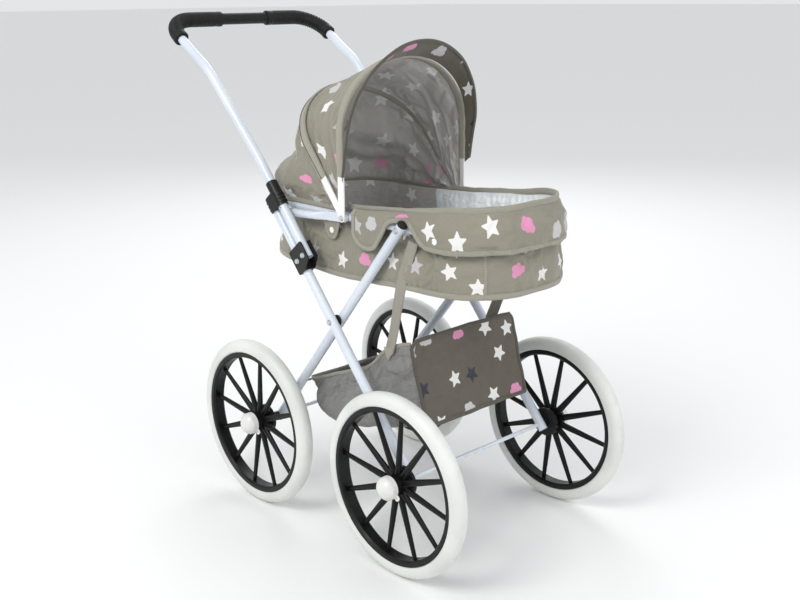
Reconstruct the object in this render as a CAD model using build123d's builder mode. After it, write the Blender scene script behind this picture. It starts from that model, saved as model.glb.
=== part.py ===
"""Doll pram: a folding X-frame of bent tube with an oval carrycot, hood, tray and four spoked wheels.

Frame: +X towards the toe (the way the pram is pushed), +Y to the doll's left, +Z up.
The origin is on the ground, under the middle of the pram's box. Millimetres.
"""

from build123d import *
from math import asin, cos, radians, sin
import os

os.makedirs("parts", exist_ok=True)

# ---------------------------------------------------------------- driving dimensions
X_SHIFT = 10.0  # moves the whole pram so that its box is centred on the origin

# wheels
WHEEL_R = 130.0
TYRE_WIDTH = 24.0
TYRE_SEAT_R = 111.0
RIM_INNER_R = 103.0
RIM_WIDTH = 21.0
WHEEL_Y = 167.4  # middle plane of each wheel
SPOKES = 12
HUB_FLANGE_R = 22.0
HUB_R = 13.0
HUB_IN = -20.0  # inner and outer ends of the hub, from the wheel's middle plane
HUB_OUT = 14.0
CAP_R = 16.5
CAP_OUT = 27.6
AXLE_R = 3.0
RUNNING = 0.05  # radial clearance of a running fit

# axle centres
FRONT_X = 200.0 + X_SHIFT
REAR_X = -113.3 + X_SHIFT
AXLE_Z = WHEEL_R
AXLE_END_Y = 186.0

# frame tubes
TUBE_R = 7.0
TUBE_WALL = 1.2
LEG_OVERHANG = 10.0  # tube left below the axle
FRONT_LEG_Y = 137.0
FRONT_LEG_ANGLE = 130.2
FRONT_LEG_LENGTH = 451.0
REAR_LEG_Y = 120.6
REAR_LEG_ANGLE = 50.67
REAR_LEG_LENGTH = 435.8  # axle to the carrycot pivot
REAR_LEG_TOP = 9.0  # tube above the carrycot pivot
CROSS_LENGTH = 246.6  # front axle to the crossing, along the front leg
RIVET_R = 2.5
RIVET_HEAD_R = 4.2
RIVET_HEAD = 2.0

# handle, measured along the front leg from the front axle and across it
PIVOT_ALONG = 349.0
HANDLE_OFFSET = 17.0
HANDLE_TAIL = 5.0
FLARE_ALONG = 518.0
HANDLE_BEND = (-225.0 + X_SHIFT, 657.0)
HANDLE_BAR = (-338.0 + X_SHIFT, 728.0)
HANDLE_Y = 146.0
GRIP_R = 12.0
GRIP_BORE = 7.1
SLEEVE_R = 9.0
GRIP_INNER_Y = 44.0
GRIP_ENTRY = 52.0  # grip length along the side tube, from the corner

# bracket and collar
BRACKET_Y = (128.0, 146.0)
BRACKET_HALF = 19.0
COLLAR_ALONG = (432.0, 458.0, 473.0)

# carrycot
COT_PIVOT_Z = 466.0
COT_PIVOT_X = 45.5 + X_SHIFT
RING_R = 6.0
RING_HALF = 106.0
RING_REAR = -164.0 + X_SHIFT
RING_FRONT = 292.0 + X_SHIFT
RING_CORNER = 84.0
TUB_BOTTOM = 388.0
TUB_WAIST = 459.0
TUB_TOP_INSET = 9.2  # tub wall inside the ring's centre line
TUB_FOOT_OUTSET = 4.0
TUB_WALL = 2.0
SKIRT_GAP = 6.3
SKIRT_WALL = 1.0

# hood
HOOD_FOOT = 45.0
HOOD_STRAIGHT = 115.0
MID_ANGLE = 128.5
FRONT_ANGLE = 90.0
REAR_EDGE_ANGLE = 172.0
BOW_WIDTH = 12.0
BOW_R = 215.0
BOW_THICK = 2.0
VISOR_ANGLE = 79.5
REAR_PANEL = (110.0, 207.5, 1.5)  # half-width, top radius and thickness

# tray
TRAY_HALF = 102.0
TRAY_WALL = 1.6
TRAY_ROD_R = 2.0
STRAP_WIDTH = 18.0
STRAP_THICK = 1.2

# ---------------------------------------------------------------- derived places
LEG_U = (cos(radians(FRONT_LEG_ANGLE)), 0, sin(radians(FRONT_LEG_ANGLE)))
LEG_N = (LEG_U[2], 0, -LEG_U[0])
REAR_U = (cos(radians(REAR_LEG_ANGLE)), 0, sin(radians(REAR_LEG_ANGLE)))


def leg_point(along, across=0.0, y=0.0):
    """A point measured along the front leg from its axle, and forward across it."""
    return (
        FRONT_X + along * LEG_U[0] + across * LEG_N[0],
        y,
        AXLE_Z + along * LEG_U[2] + across * LEG_N[2],
    )


def rear_leg_point(along, y=0.0):
    """A point measured along the rear leg from its axle."""
    return (REAR_X + along * REAR_U[0], y, AXLE_Z + along * REAR_U[2])


CROSS = leg_point(CROSS_LENGTH)
HANDLE_PIVOT = leg_point(PIVOT_ALONG, HANDLE_OFFSET)
LEG_RIVET = leg_point(PIVOT_ALONG)
REAR_TOP = rear_leg_point(REAR_LEG_LENGTH)
COT_PIVOT = (COT_PIVOT_X, 0, COT_PIVOT_Z)
STRUT_FOOT = leg_point(430.0)
TRAY_ROD = (REAR_X + (197.5 - AXLE_Z) / REAR_U[2] * REAR_U[0], 0, 197.5)


def leg_plane(y):
    """The side plane of the front leg: local x along the leg, local y forward, normal +Y."""
    return Plane(origin=(FRONT_X, y, AXLE_Z), x_dir=LEG_U, z_dir=(0, 1, 0))


def side_plane(point, y):
    """A plane facing +Y at a point of the side view, local x along +X, local y along -Z."""
    return Plane(origin=(point[0], y, point[2]), x_dir=(1, 0, 0), z_dir=(0, 1, 0))


def save(piece, label):
    """Label one finished piece and write its STEP file."""
    piece.label = label
    export_step(piece, f"parts/{label}.step")


def save_pair(piece, stem):
    """Write a right-hand piece and its mirror image on the left."""
    save(piece, stem + "_right")
    save(mirror(piece, about=Plane.XZ), stem + "_left")


def both_sides(piece):
    """A right-hand piece and its mirror image as one group of separate solids."""
    return Compound(children=[*piece.solids(), *mirror(piece, about=Plane.XZ).solids()])


def drill(point, y_from, y_to, radius):
    """Drill the part being built along Y, through a point of the side view."""
    with BuildSketch(side_plane(point, y_from)) as hole:
        Circle(radius)
    extrude(hole.sketch, amount=y_to - y_from, mode=Mode.SUBTRACT)


def rivet(point, y_in, y_out):
    """A rivet on the right-hand side: shank between two headed ends at |y| = y_in and y_out."""
    with BuildPart() as pin:
        with BuildSketch(side_plane(point, -y_out)):
            Circle(RIVET_R)
        extrude(amount=y_out - y_in)
        for y, sign in ((-y_out, -1), (-y_in, 1)):
            with BuildSketch(side_plane(point, y)):
                Circle(RIVET_HEAD_R)
            extrude(amount=sign * RIVET_HEAD, taper=25)
    return pin.part


# ---------------------------------------------------------------- wheels
def wheel_plane(x):
    """Section plane of a right-hand wheel: local x is radial, local y points outward (-Y)."""
    return Plane(origin=(x, -WHEEL_Y, AXLE_Z), x_dir=(1, 0, 0), z_dir=(0, 0, -1))


def spoke_blank(x):
    """One tapered spoke lying along +X, from inside the hub to inside the rim."""
    with BuildPart() as spoke:
        with BuildSketch(Plane(origin=(x + HUB_R - 3, -WHEEL_Y + 5, AXLE_Z), z_dir=(1, 0, 0))):
            Ellipse(5.5, 4.2)
        with BuildSketch(Plane(origin=(x + RIM_INNER_R + 1.5, -WHEEL_Y, AXLE_Z), z_dir=(1, 0, 0))):
            Ellipse(3.4, 2.5)
        loft()
    return spoke.part


def wheel_core(x, spoke):
    """Moulded wheel: barrel hub with an inner flange, tapered spokes and a channelled rim."""
    axis = Axis((x, 0, AXLE_Z), (0, 1, 0))
    with BuildPart() as core:
        with BuildSketch(wheel_plane(x)):
            with BuildLine():
                Polyline(
                    (AXLE_R + RUNNING, HUB_IN),
                    (HUB_FLANGE_R, HUB_IN),
                    (HUB_FLANGE_R, HUB_IN + 5),
                    (HUB_R + 3, HUB_IN + 12),
                    (HUB_R, HUB_OUT - 6),
                    (HUB_R, HUB_OUT),
                    (AXLE_R + RUNNING, HUB_OUT),
                    close=True,
                )
            make_face()
            half = RIM_WIDTH / 2
            with BuildLine():
                Polyline(
                    (RIM_INNER_R, -half + 3),
                    (RIM_INNER_R + 3, -half),
                    (TYRE_SEAT_R, -half),
                    (TYRE_SEAT_R, half),
                    (RIM_INNER_R + 3, half),
                    (RIM_INNER_R, half - 3),
                    close=True,
                )
            make_face()
        revolve(axis=axis)
        for k in range(SPOKES):
            add(spoke.rotate(axis, k * 360 / SPOKES + 8))
    return core.part


def tyre(x):
    """Solid round-shouldered tyre seated on the rim."""
    with BuildPart() as ring:
        with BuildSketch(wheel_plane(x)) as section:
            with Locations(((TYRE_SEAT_R + RUNNING + WHEEL_R) / 2, 0)):
                Rectangle(WHEEL_R - TYRE_SEAT_R - RUNNING, TYRE_WIDTH)
            fillet(section.vertices().group_by(Axis.X)[-1], 11.4)
            fillet(section.vertices().group_by(Axis.X)[0], 4.0)
        revolve(axis=Axis((x, 0, AXLE_Z), (0, 1, 0)))
    return ring.part


def dome(half, base, rise):
    """The points of a circular arc from a rim point up to a crown on the axis."""
    radius = (half**2 + rise**2) / (2 * rise)
    middle = asin(half / radius) / 2
    crown = base + rise
    return (half, base), (radius * sin(middle), crown - radius + radius * cos(middle)), (0, crown)


def hub_cap(x):
    """Domed cap over the hub's end, with a small eyelet on its edge."""
    axis = Axis((x, 0, AXLE_Z), (0, 1, 0))
    skirt = HUB_OUT - 5
    shoulder = HUB_OUT + 3
    with BuildPart() as cap:
        with BuildSketch(wheel_plane(x)):
            with BuildLine():
                Polyline((HUB_R + RUNNING, skirt), (CAP_R, skirt), (CAP_R, shoulder))
                ThreePointArc(*dome(CAP_R, shoulder, CAP_OUT - shoulder))
                Line((0, CAP_OUT), (0, CAP_OUT - 2))
                ThreePointArc(*dome(HUB_R + RUNNING, shoulder, CAP_OUT - 2 - shoulder))
                Line((HUB_R + RUNNING, shoulder), (HUB_R + RUNNING, skirt))
            make_face()
        revolve(axis=axis)
        with BuildSketch(Plane(origin=(x, -WHEEL_Y - skirt, AXLE_Z), x_dir=(1, 0, 0), z_dir=(0, -1, 0))):
            with PolarLocations(CAP_R + 2, 1, start_angle=-35):
                Circle(4)
            with PolarLocations(CAP_R + 2.5, 1, start_angle=-35):
                Circle(1.5, mode=Mode.SUBTRACT)
            Circle(HUB_R + 1, mode=Mode.SUBTRACT)
        extrude(amount=2)
    return cap.part


for place, x in (("front", FRONT_X), ("rear", REAR_X)):
    save_pair(wheel_core(x, spoke_blank(x)), f"{place}_wheel_core")
    save_pair(tyre(x), f"{place}_tyre")
    save_pair(hub_cap(x), f"{place}_hub_cap")


# ---------------------------------------------------------------- axles and their small parts
def ring_part(x, y_in, y_out, bore, radius):
    """A washer, spacer or push nut on the right-hand end of an axle."""
    with BuildPart() as ring:
        with BuildSketch(side_plane((x, 0, AXLE_Z), -y_out)):
            Circle(radius)
            Circle(bore, mode=Mode.SUBTRACT)
        extrude(amount=y_out - y_in)
    return ring.part


LEG_OUT = {"front": FRONT_LEG_Y + TUBE_R, "rear": REAR_LEG_Y + TUBE_R}
HUB_FACE = WHEEL_Y + HUB_IN
NUT_Y = WHEEL_Y + HUB_OUT + 0.4
for place, x in (("front", FRONT_X), ("rear", REAR_X)):
    with BuildPart() as axle:
        with BuildSketch(side_plane((x, 0, AXLE_Z), -AXLE_END_Y)):
            Circle(AXLE_R)
        extrude(amount=2 * AXLE_END_Y)
        chamfer(axle.edges().filter_by(GeomType.CIRCLE), 0.8)
    save(axle.part, f"{place}_axle")
    spacer = ring_part(x, LEG_OUT[place] + 0.1, HUB_FACE - 0.2, AXLE_R + 0.02, 5.5)
    save(both_sides(spacer), f"{place}_axle_spacers")
    push_nut = ring_part(x, NUT_Y, NUT_Y + 1.6, AXLE_R + 0.02, 6.5)
    save(both_sides(push_nut), f"{place}_push_nuts")


# ---------------------------------------------------------------- the X-frame
with BuildPart() as front_leg:
    with BuildSketch(Plane(origin=leg_point(-LEG_OVERHANG, y=-FRONT_LEG_Y), z_dir=LEG_U)):
        Circle(TUBE_R)
        Circle(TUBE_R - TUBE_WALL, mode=Mode.SUBTRACT)
    extrude(amount=FRONT_LEG_LENGTH + LEG_OVERHANG)
    far_y, near_y = -FRONT_LEG_Y - 2 * TUBE_R, -FRONT_LEG_Y + 2 * TUBE_R
    drill((FRONT_X, 0, AXLE_Z), far_y, near_y, AXLE_R + 0.02)
    drill(CROSS, far_y, near_y, RIVET_R + 0.02)
    drill(LEG_RIVET, far_y, near_y, RIVET_R + 0.02)
save_pair(front_leg.part, "front_leg")

with BuildPart() as rear_leg:
    with BuildSketch(Plane(origin=rear_leg_point(-LEG_OVERHANG, -REAR_LEG_Y), z_dir=REAR_U)):
        Circle(TUBE_R)
        Circle(TUBE_R - TUBE_WALL, mode=Mode.SUBTRACT)
    extrude(amount=REAR_LEG_LENGTH + LEG_OVERHANG + REAR_LEG_TOP)
    far_y, near_y = -REAR_LEG_Y - 2 * TUBE_R, -REAR_LEG_Y + 2 * TUBE_R
    drill((REAR_X, 0, AXLE_Z), far_y, near_y, AXLE_R + 0.02)
    drill(CROSS, far_y, near_y, RIVET_R + RUNNING)
    drill(REAR_TOP, far_y, near_y, RIVET_R + 0.02)
    drill(TRAY_ROD, far_y, near_y, TRAY_ROD_R + 0.02)
save_pair(rear_leg.part, "rear_leg")

# end plugs of the rear legs: a spigot in the bore and a domed head
with BuildPart() as leg_plug:
    with BuildSketch(Plane(origin=rear_leg_point(REAR_LEG_LENGTH + REAR_LEG_TOP, -REAR_LEG_Y), z_dir=REAR_U)):
        Circle(TUBE_R + 0.2)
    extrude(amount=3.5)
    fillet(leg_plug.faces().sort_by(Axis(origin=(0, 0, 0), direction=REAR_U))[-1].edges(), 2.5)
    with BuildSketch(Plane(origin=rear_leg_point(REAR_LEG_LENGTH + REAR_LEG_TOP, -REAR_LEG_Y), z_dir=REAR_U)):
        Circle(TUBE_R - TUBE_WALL - 0.05)
    extrude(amount=-4.0)
save(both_sides(leg_plug.part), "rear_leg_plugs")

cross_rivet = rivet(CROSS, REAR_LEG_Y - TUBE_R, FRONT_LEG_Y + TUBE_R)
save(both_sides(cross_rivet), "cross_rivets")
with BuildPart() as cross_spacer:
    with BuildSketch(side_plane(CROSS, -FRONT_LEG_Y + TUBE_R + 0.1)):
        Circle(8.5)
        Circle(RIVET_R + 0.02, mode=Mode.SUBTRACT)
    extrude(amount=FRONT_LEG_Y - REAR_LEG_Y - 2 * TUBE_R - 0.3)
save(both_sides(cross_spacer.part), "cross_spacers")

with BuildPart() as tray_rod:
    with BuildSketch(side_plane(TRAY_ROD, -REAR_LEG_Y - TUBE_R - 2)):
        Circle(TRAY_ROD_R)
    extrude(amount=2 * (REAR_LEG_Y + TUBE_R + 2))
save(tray_rod.part, "tray_rod")

# ---------------------------------------------------------------- handle bracket
BRACKET_PLANE = leg_plane(-BRACKET_Y[1])
BRACKET_DEPTH = BRACKET_Y[1] - BRACKET_Y[0]
with BuildPart() as bracket:
    with BuildSketch(BRACKET_PLANE) as plate:
        with BuildLine():
            Polyline(
                (PIVOT_ALONG - BRACKET_HALF, -9.2),
                (PIVOT_ALONG - BRACKET_HALF, 9.0),
                (PIVOT_ALONG - 10, 26.0),
                (PIVOT_ALONG + BRACKET_HALF, 26.0),
                (PIVOT_ALONG + BRACKET_HALF, -9.2),
                close=True,
            )
        make_face()
        fillet(plate.vertices(), 2.5)
    extrude(amount=BRACKET_DEPTH)
    bore_start = leg_point(PIVOT_ALONG - 40, y=-FRONT_LEG_Y)
    with BuildSketch(Plane(origin=bore_start, z_dir=LEG_U)):
        Circle(TUBE_R + RUNNING)
    extrude(amount=80, mode=Mode.SUBTRACT)
    # channel for the handle tube, open to the front; a pad at its top backs the raised handle
    with BuildSketch(leg_plane(-FRONT_LEG_Y - TUBE_R - 0.15)):
        with Locations((PIVOT_ALONG - 5, 23.0)):
            Rectangle(2 * BRACKET_HALF - 9 + 0.2, 30.0)
        with Locations((PIVOT_ALONG, 24.8)):
            Rectangle(4 * BRACKET_HALF, 30.0)
    extrude(amount=2 * TUBE_R + 0.3, mode=Mode.SUBTRACT)
    drill(HANDLE_PIVOT, -160, -110, RIVET_R + 0.02)
    drill(LEG_RIVET, -160, -110, RIVET_R + 0.02)
save_pair(bracket.part, "handle_bracket")
save(both_sides(rivet(LEG_RIVET, *BRACKET_Y)), "bracket_rivets")
save(both_sides(rivet(HANDLE_PIVOT, *BRACKET_Y)), "handle_pivot_rivets")

# ---------------------------------------------------------------- handle
HANDLE_ROUTE = [
    leg_point(PIVOT_ALONG - HANDLE_TAIL, HANDLE_OFFSET, -FRONT_LEG_Y),
    leg_point(FLARE_ALONG, HANDLE_OFFSET, -FRONT_LEG_Y),
    (HANDLE_BEND[0], -HANDLE_Y, HANDLE_BEND[1]),
    (HANDLE_BAR[0], -HANDLE_Y, HANDLE_BAR[1]),
]
HANDLE_ROUTE += [(x, -y, z) for x, y, z in reversed(HANDLE_ROUTE)]
HANDLE_RADII = [300, 110, 44, 44, 110, 300]

with BuildPart() as handle_tube:
    with BuildLine() as route:
        FilletPolyline(*HANDLE_ROUTE, radius=HANDLE_RADII)
    start_plane = Plane(origin=route.line @ 0, z_dir=route.line % 0)
    with BuildSketch(start_plane):
        Circle(TUBE_R)
        Circle(TUBE_R - TUBE_WALL, mode=Mode.SUBTRACT)
    sweep(path=route.line)
    drill(HANDLE_PIVOT, -170, 170, RIVET_R + RUNNING)
save(handle_tube.part, "handle_tube")

# foam elbow grips: each runs from the bar round the corner and down the side tube
corner = Vector(*HANDLE_ROUTE[3])
down = (Vector(*HANDLE_ROUTE[2]) - corner).normalized()
with BuildPart() as grip:
    with BuildLine() as grip_route:
        FilletPolyline(
            (HANDLE_BAR[0], -GRIP_INNER_Y, HANDLE_BAR[1]),
            corner,
            corner + down * GRIP_ENTRY,
            radius=44,
        )
    grip_start = Plane(origin=grip_route.line @ 0, z_dir=grip_route.line % 0)
    with BuildSketch(grip_start):
        Circle(GRIP_R)
        Circle(GRIP_BORE, mode=Mode.SUBTRACT)
    sweep(path=grip_route.line)
save_pair(grip.part, "grip")

with BuildPart() as grip_sleeve:
    with BuildSketch(side_plane((HANDLE_BAR[0], 0, HANDLE_BAR[1]), -GRIP_INNER_Y + 0.2)):
        Circle(SLEEVE_R)
        Circle(GRIP_BORE, mode=Mode.SUBTRACT)
    extrude(amount=2 * GRIP_INNER_Y - 0.4)
save(grip_sleeve.part, "grip_sleeve")

with BuildPart() as stop_pin:
    pin_centre = leg_point(COLLAR_ALONG[0] - 4.0, HANDLE_OFFSET)
    with BuildSketch(side_plane(pin_centre, -FRONT_LEG_Y - TUBE_R + 0.6)):
        Circle(2.6)
    extrude(amount=-2.0, taper=20)
save(both_sides(stop_pin.part), "collar_stop_pins")

# ---------------------------------------------------------------- sliding lock collars
def collar_plane(along, across):
    """A section plane of the right-hand collar: local x forward across the leg, normal along it."""
    return Plane(origin=leg_point(along, across, -FRONT_LEG_Y), x_dir=LEG_N, z_dir=LEG_U)


with BuildPart() as collar:
    with BuildSketch(collar_plane(COLLAR_ALONG[0], HANDLE_OFFSET / 2)):
        SlotOverall(HANDLE_OFFSET + 2 * (TUBE_R + 2.0), 2 * (TUBE_R + 2.0))
    extrude(amount=COLLAR_ALONG[1] - COLLAR_ALONG[0])
    fillet(collar.faces().sort_by(Axis(origin=(0, 0, 0), direction=LEG_U))[-1].edges(), 3.0)
    with BuildSketch(collar_plane(COLLAR_ALONG[1] - 4, HANDLE_OFFSET)):
        Circle(TUBE_R + 1.9)
    extrude(amount=COLLAR_ALONG[2] - COLLAR_ALONG[1] + 4)
    fillet(collar.faces().sort_by(Axis(origin=(0, 0, 0), direction=LEG_U))[-1].edges(), 1.8)
    # gripping ribs round the skirt
    for k in range(3):
        with BuildSketch(collar_plane(COLLAR_ALONG[0] + 4 + 6 * k, HANDLE_OFFSET / 2)):
            SlotOverall(HANDLE_OFFSET + 2 * (TUBE_R + 3.2), 2 * (TUBE_R + 2.0))
        extrude(amount=2.4)
    with BuildSketch(Plane(origin=leg_point(COLLAR_ALONG[0] - 5, HANDLE_OFFSET, -FRONT_LEG_Y), z_dir=LEG_U)):
        Circle(TUBE_R + RUNNING)
    extrude(amount=60, mode=Mode.SUBTRACT)
    # socket over the front leg's end, open to the rear so that the handle can swing forward
    socket_depth = FRONT_LEG_LENGTH - COLLAR_ALONG[0] + 0.4
    with BuildSketch(Plane(origin=leg_point(COLLAR_ALONG[0], 0, -FRONT_LEG_Y), x_dir=LEG_N, z_dir=LEG_U)):
        Circle(TUBE_R + 0.4)
        with Locations((-10, 0)):
            Rectangle(20, 2 * TUBE_R + 0.8)
    extrude(amount=socket_depth, mode=Mode.SUBTRACT)
save_pair(collar.part, "lock_collar")

# ---------------------------------------------------------------- carrycot
RING_MID_X = (RING_REAR + RING_FRONT) / 2
RING_LENGTH = RING_FRONT - RING_REAR


def oval(outset):
    """The carrycot's rounded-rectangle outline, offset outward from the ring's centre line."""
    with Locations((RING_MID_X, 0)):
        RectangleRounded(RING_LENGTH + 2 * outset, 2 * (RING_HALF + outset), RING_CORNER + outset)


with BuildPart() as ring:
    with BuildLine() as loop:
        corner_x = RING_LENGTH / 2 - RING_CORNER
        corner_y = RING_HALF - RING_CORNER
        points = [
            Vector(RING_MID_X + corner_x, -RING_HALF, COT_PIVOT_Z),
            Vector(RING_FRONT, -corner_y, COT_PIVOT_Z),
            Vector(RING_FRONT, corner_y, COT_PIVOT_Z),
            Vector(RING_MID_X + corner_x, RING_HALF, COT_PIVOT_Z),
            Vector(RING_MID_X - corner_x, RING_HALF, COT_PIVOT_Z),
            Vector(RING_REAR, corner_y, COT_PIVOT_Z),
            Vector(RING_REAR, -corner_y, COT_PIVOT_Z),
            Vector(RING_MID_X - corner_x, -RING_HALF, COT_PIVOT_Z),
        ]
        tangents = [(1, 0, 0), (0, 1, 0), (-1, 0, 0), (0, -1, 0)]
        for k in range(4):
            TangentArc(points[2 * k], points[2 * k + 1], tangent=tangents[k])
            Line(points[2 * k + 1], points[(2 * k + 2) % 8])
    with BuildSketch(Plane(origin=points[0], z_dir=(1, 0, 0))):
        Circle(RING_R)
        Circle(RING_R - 1.0, mode=Mode.SUBTRACT)
    sweep(path=loop.wires()[0])
    drill(COT_PIVOT, -140, 140, RIVET_R + 0.02)
    drill(REAR_TOP, -140, 140, RIVET_R + RUNNING)
save(ring.part, "carrycot_ring")


# everything under the carrycot's rim line, which rises towards the toe
RIM_REAR = 463.0
RIM_FRONT = 499.0
with BuildPart() as below_rim:
    with BuildSketch(Plane.XZ):
        with BuildLine():
            Spline(
                (RING_REAR - 30, RIM_REAR),
                (COT_PIVOT_X - 80, RIM_REAR + 1),
                (COT_PIVOT_X + 110, RIM_FRONT - 13),
                (RING_FRONT + 30, RIM_FRONT),
            )
            Polyline(
                (RING_FRONT + 30, RIM_FRONT),
                (RING_FRONT + 30, TUB_BOTTOM - 8),
                (RING_REAR - 30, TUB_BOTTOM - 8),
                (RING_REAR - 30, RIM_REAR),
            )
        make_face()
    extrude(amount=150, both=True)
BELOW_RIM = below_rim.part


with BuildPart() as tub:
    # flared body: wide at the foot, drawn in to pass inside the ring
    with BuildSketch(Plane.XY.offset(TUB_BOTTOM)):
        oval(TUB_FOOT_OUTSET)
    with BuildSketch(Plane.XY.offset(TUB_WAIST)):
        oval(-TUB_TOP_INSET)
    loft()
    fillet(tub.faces().sort_by(Axis.Z)[0].edges(), 6.0)
    with BuildSketch(Plane.XY.offset(TUB_WAIST)):
        oval(-TUB_TOP_INSET)
    extrude(amount=50)
    with BuildSketch(Plane.XY.offset(TUB_BOTTOM + 3)):
        oval(TUB_FOOT_OUTSET - TUB_WALL - 3)
    with BuildSketch(Plane.XY.offset(TUB_WAIST)):
        oval(-TUB_TOP_INSET - TUB_WALL)
    loft(mode=Mode.SUBTRACT)
    with BuildSketch(Plane.XY.offset(TUB_WAIST)):
        oval(-TUB_TOP_INSET - TUB_WALL)
    extrude(amount=60, mode=Mode.SUBTRACT)
    add(BELOW_RIM, mode=Mode.INTERSECT)
save(tub.part, "tub")

with BuildPart() as board:
    with BuildSketch(Plane.XY.offset(TUB_BOTTOM + 3.3)):
        oval(TUB_FOOT_OUTSET - TUB_WALL - 6)
    extrude(amount=4)
save(board.part, "base_board")

# skirt: a loose valance over the ring, cut away round the pivots
SKIRT_HEM = 446.0
FLAP_X = COT_PIVOT_X + 47.5  # rounded flap between the two pivots
FLAP_HALF = 29.0
FLAP_DROP = 15.5
REAR_FLAP_X = COT_PIVOT_X - 31.5  # small flap behind the hood pivot
REAR_FLAP_HALF = 15.0
REAR_FLAP_TOP = 462.4
REAR_FLAP_Y = (111.2, 112.2)


def skirt_band(x_from, x_to):
    """The part of the skirt between two stations, from its hem up to the rim."""
    with BuildPart() as band:
        with BuildSketch(Plane.XY.offset(SKIRT_HEM)):
            oval(SKIRT_GAP + SKIRT_WALL)
        extrude(amount=60)
        with BuildSketch(Plane.XY.offset(SKIRT_HEM)):
            oval(SKIRT_GAP)
        extrude(amount=60, mode=Mode.SUBTRACT)
        with BuildSketch(Plane.XY.offset(SKIRT_HEM)):
            with Locations(((x_from + x_to) / 2, 0)):
                Rectangle(x_to - x_from, 300)
        extrude(amount=60, mode=Mode.INTERSECT)
        add(BELOW_RIM, mode=Mode.INTERSECT)
    return band.part


SKIRT_SPLIT = (COT_PIVOT_X - 44, COT_PIVOT_X + 16)
rear_band = skirt_band(RING_REAR - 30, SKIRT_SPLIT[0])
front_band = skirt_band(SKIRT_SPLIT[1], RING_FRONT + 30)

with BuildPart() as flap_pair:
    with BuildSketch(Plane.XZ):
        with Locations((FLAP_X, SKIRT_HEM)):
            Ellipse(FLAP_HALF, FLAP_DROP)
    extrude(amount=RING_HALF + SKIRT_GAP + SKIRT_WALL, both=True)
    with BuildSketch(Plane.XZ) as flap_core:
        with Locations((FLAP_X, SKIRT_HEM)):
            Rectangle(4 * FLAP_HALF, 4 * FLAP_DROP)
    extrude(flap_core.sketch, amount=RING_HALF + SKIRT_GAP, both=True, mode=Mode.SUBTRACT)

with BuildPart() as skirt_front:
    add(front_band)
    add(flap_pair.part)
    # arched window round the rear leg's top, wide enough for its swing
    with BuildSketch(Plane.XZ):
        with Locations((REAR_TOP[0] - 8, SKIRT_HEM)):
            Ellipse(30, 31)
    extrude(amount=150, both=True, mode=Mode.SUBTRACT)
    # rounded corner of the flap between the two pivots
    with BuildSketch(Plane.XZ):
        with Locations((SKIRT_SPLIT[1], SKIRT_HEM)):
            Circle(10)
    extrude(amount=150, both=True, mode=Mode.SUBTRACT)
save(skirt_front.part, "skirt_front")

with BuildPart() as skirt_rear:
    add(rear_band)
    with BuildSketch(Plane.XZ):
        with Locations((SKIRT_SPLIT[0], SKIRT_HEM)):
            Circle(7)
    extrude(amount=150, both=True, mode=Mode.SUBTRACT)

# small flap that hangs under the ring behind the hood pivot, each side
with BuildPart() as rear_flap:
    with BuildSketch(side_plane((REAR_FLAP_X, 0, SKIRT_HEM), -REAR_FLAP_Y[1])):
        Ellipse(REAR_FLAP_HALF, FLAP_DROP - 2)
        with Locations((0, (SKIRT_HEM - REAR_FLAP_TOP) / 2)):
            Rectangle(2 * REAR_FLAP_HALF, REAR_FLAP_TOP - SKIRT_HEM)
    extrude(amount=REAR_FLAP_Y[1] - REAR_FLAP_Y[0])
rear_flaps = both_sides(rear_flap.part)
save(Compound(children=[*skirt_rear.part.solids(), *rear_flaps.solids()]), "skirt_rear")

# snap fasteners along the skirt, three on each side
SKIRT_FACE = RING_HALF + SKIRT_GAP + SKIRT_WALL
SNAPS = [
    (REAR_FLAP_X, 443.6, REAR_FLAP_Y[1]),
    (COT_PIVOT_X + 55.9, 443.1, SKIRT_FACE),
    (COT_PIVOT_X + 175.3, 459.6, SKIRT_FACE),
]
with BuildPart() as snaps:
    for x, z, y in SNAPS:
        with BuildSketch(side_plane((x, 0, z), -y - 0.05)):
            Circle(4.5)
        extrude(amount=-0.5, taper=30)
save(both_sides(snaps.part), "skirt_snaps")

# pivot rivets of the carrycot: through the ring, strut and bows, and through the ring and rear leg
STRUT_TAB_Y = (112.8, 115.8)
MID_BOW_Y = (116.2, 118.2)
FRONT_BOW_Y = (118.6, 120.6)
save(both_sides(rivet(COT_PIVOT, RING_HALF - RING_R - 0.1, FRONT_BOW_Y[1] + 0.3)), "hood_rivets")
save(both_sides(rivet(REAR_TOP, RING_HALF - RING_R - 0.1, REAR_LEG_Y + TUBE_R)), "carrycot_rivets")

# ---------------------------------------------------------------- toggle struts
STRUT_Y = 121.5
strut_axis = (Vector(*STRUT_FOOT) - Vector(*COT_PIVOT)).normalized()
strut_length = (Vector(*STRUT_FOOT) - Vector(*COT_PIVOT)).length
TAB_END = 36.0
TUBE_START = 56.0


def strut_section(along, y):
    """A section plane of the right-hand strut: normal along the strut, local x along Y."""
    centre = Vector(*COT_PIVOT) + strut_axis * along
    return Plane(origin=(centre.X, y, centre.Z), x_dir=(0, 1, 0), z_dir=strut_axis)


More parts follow.
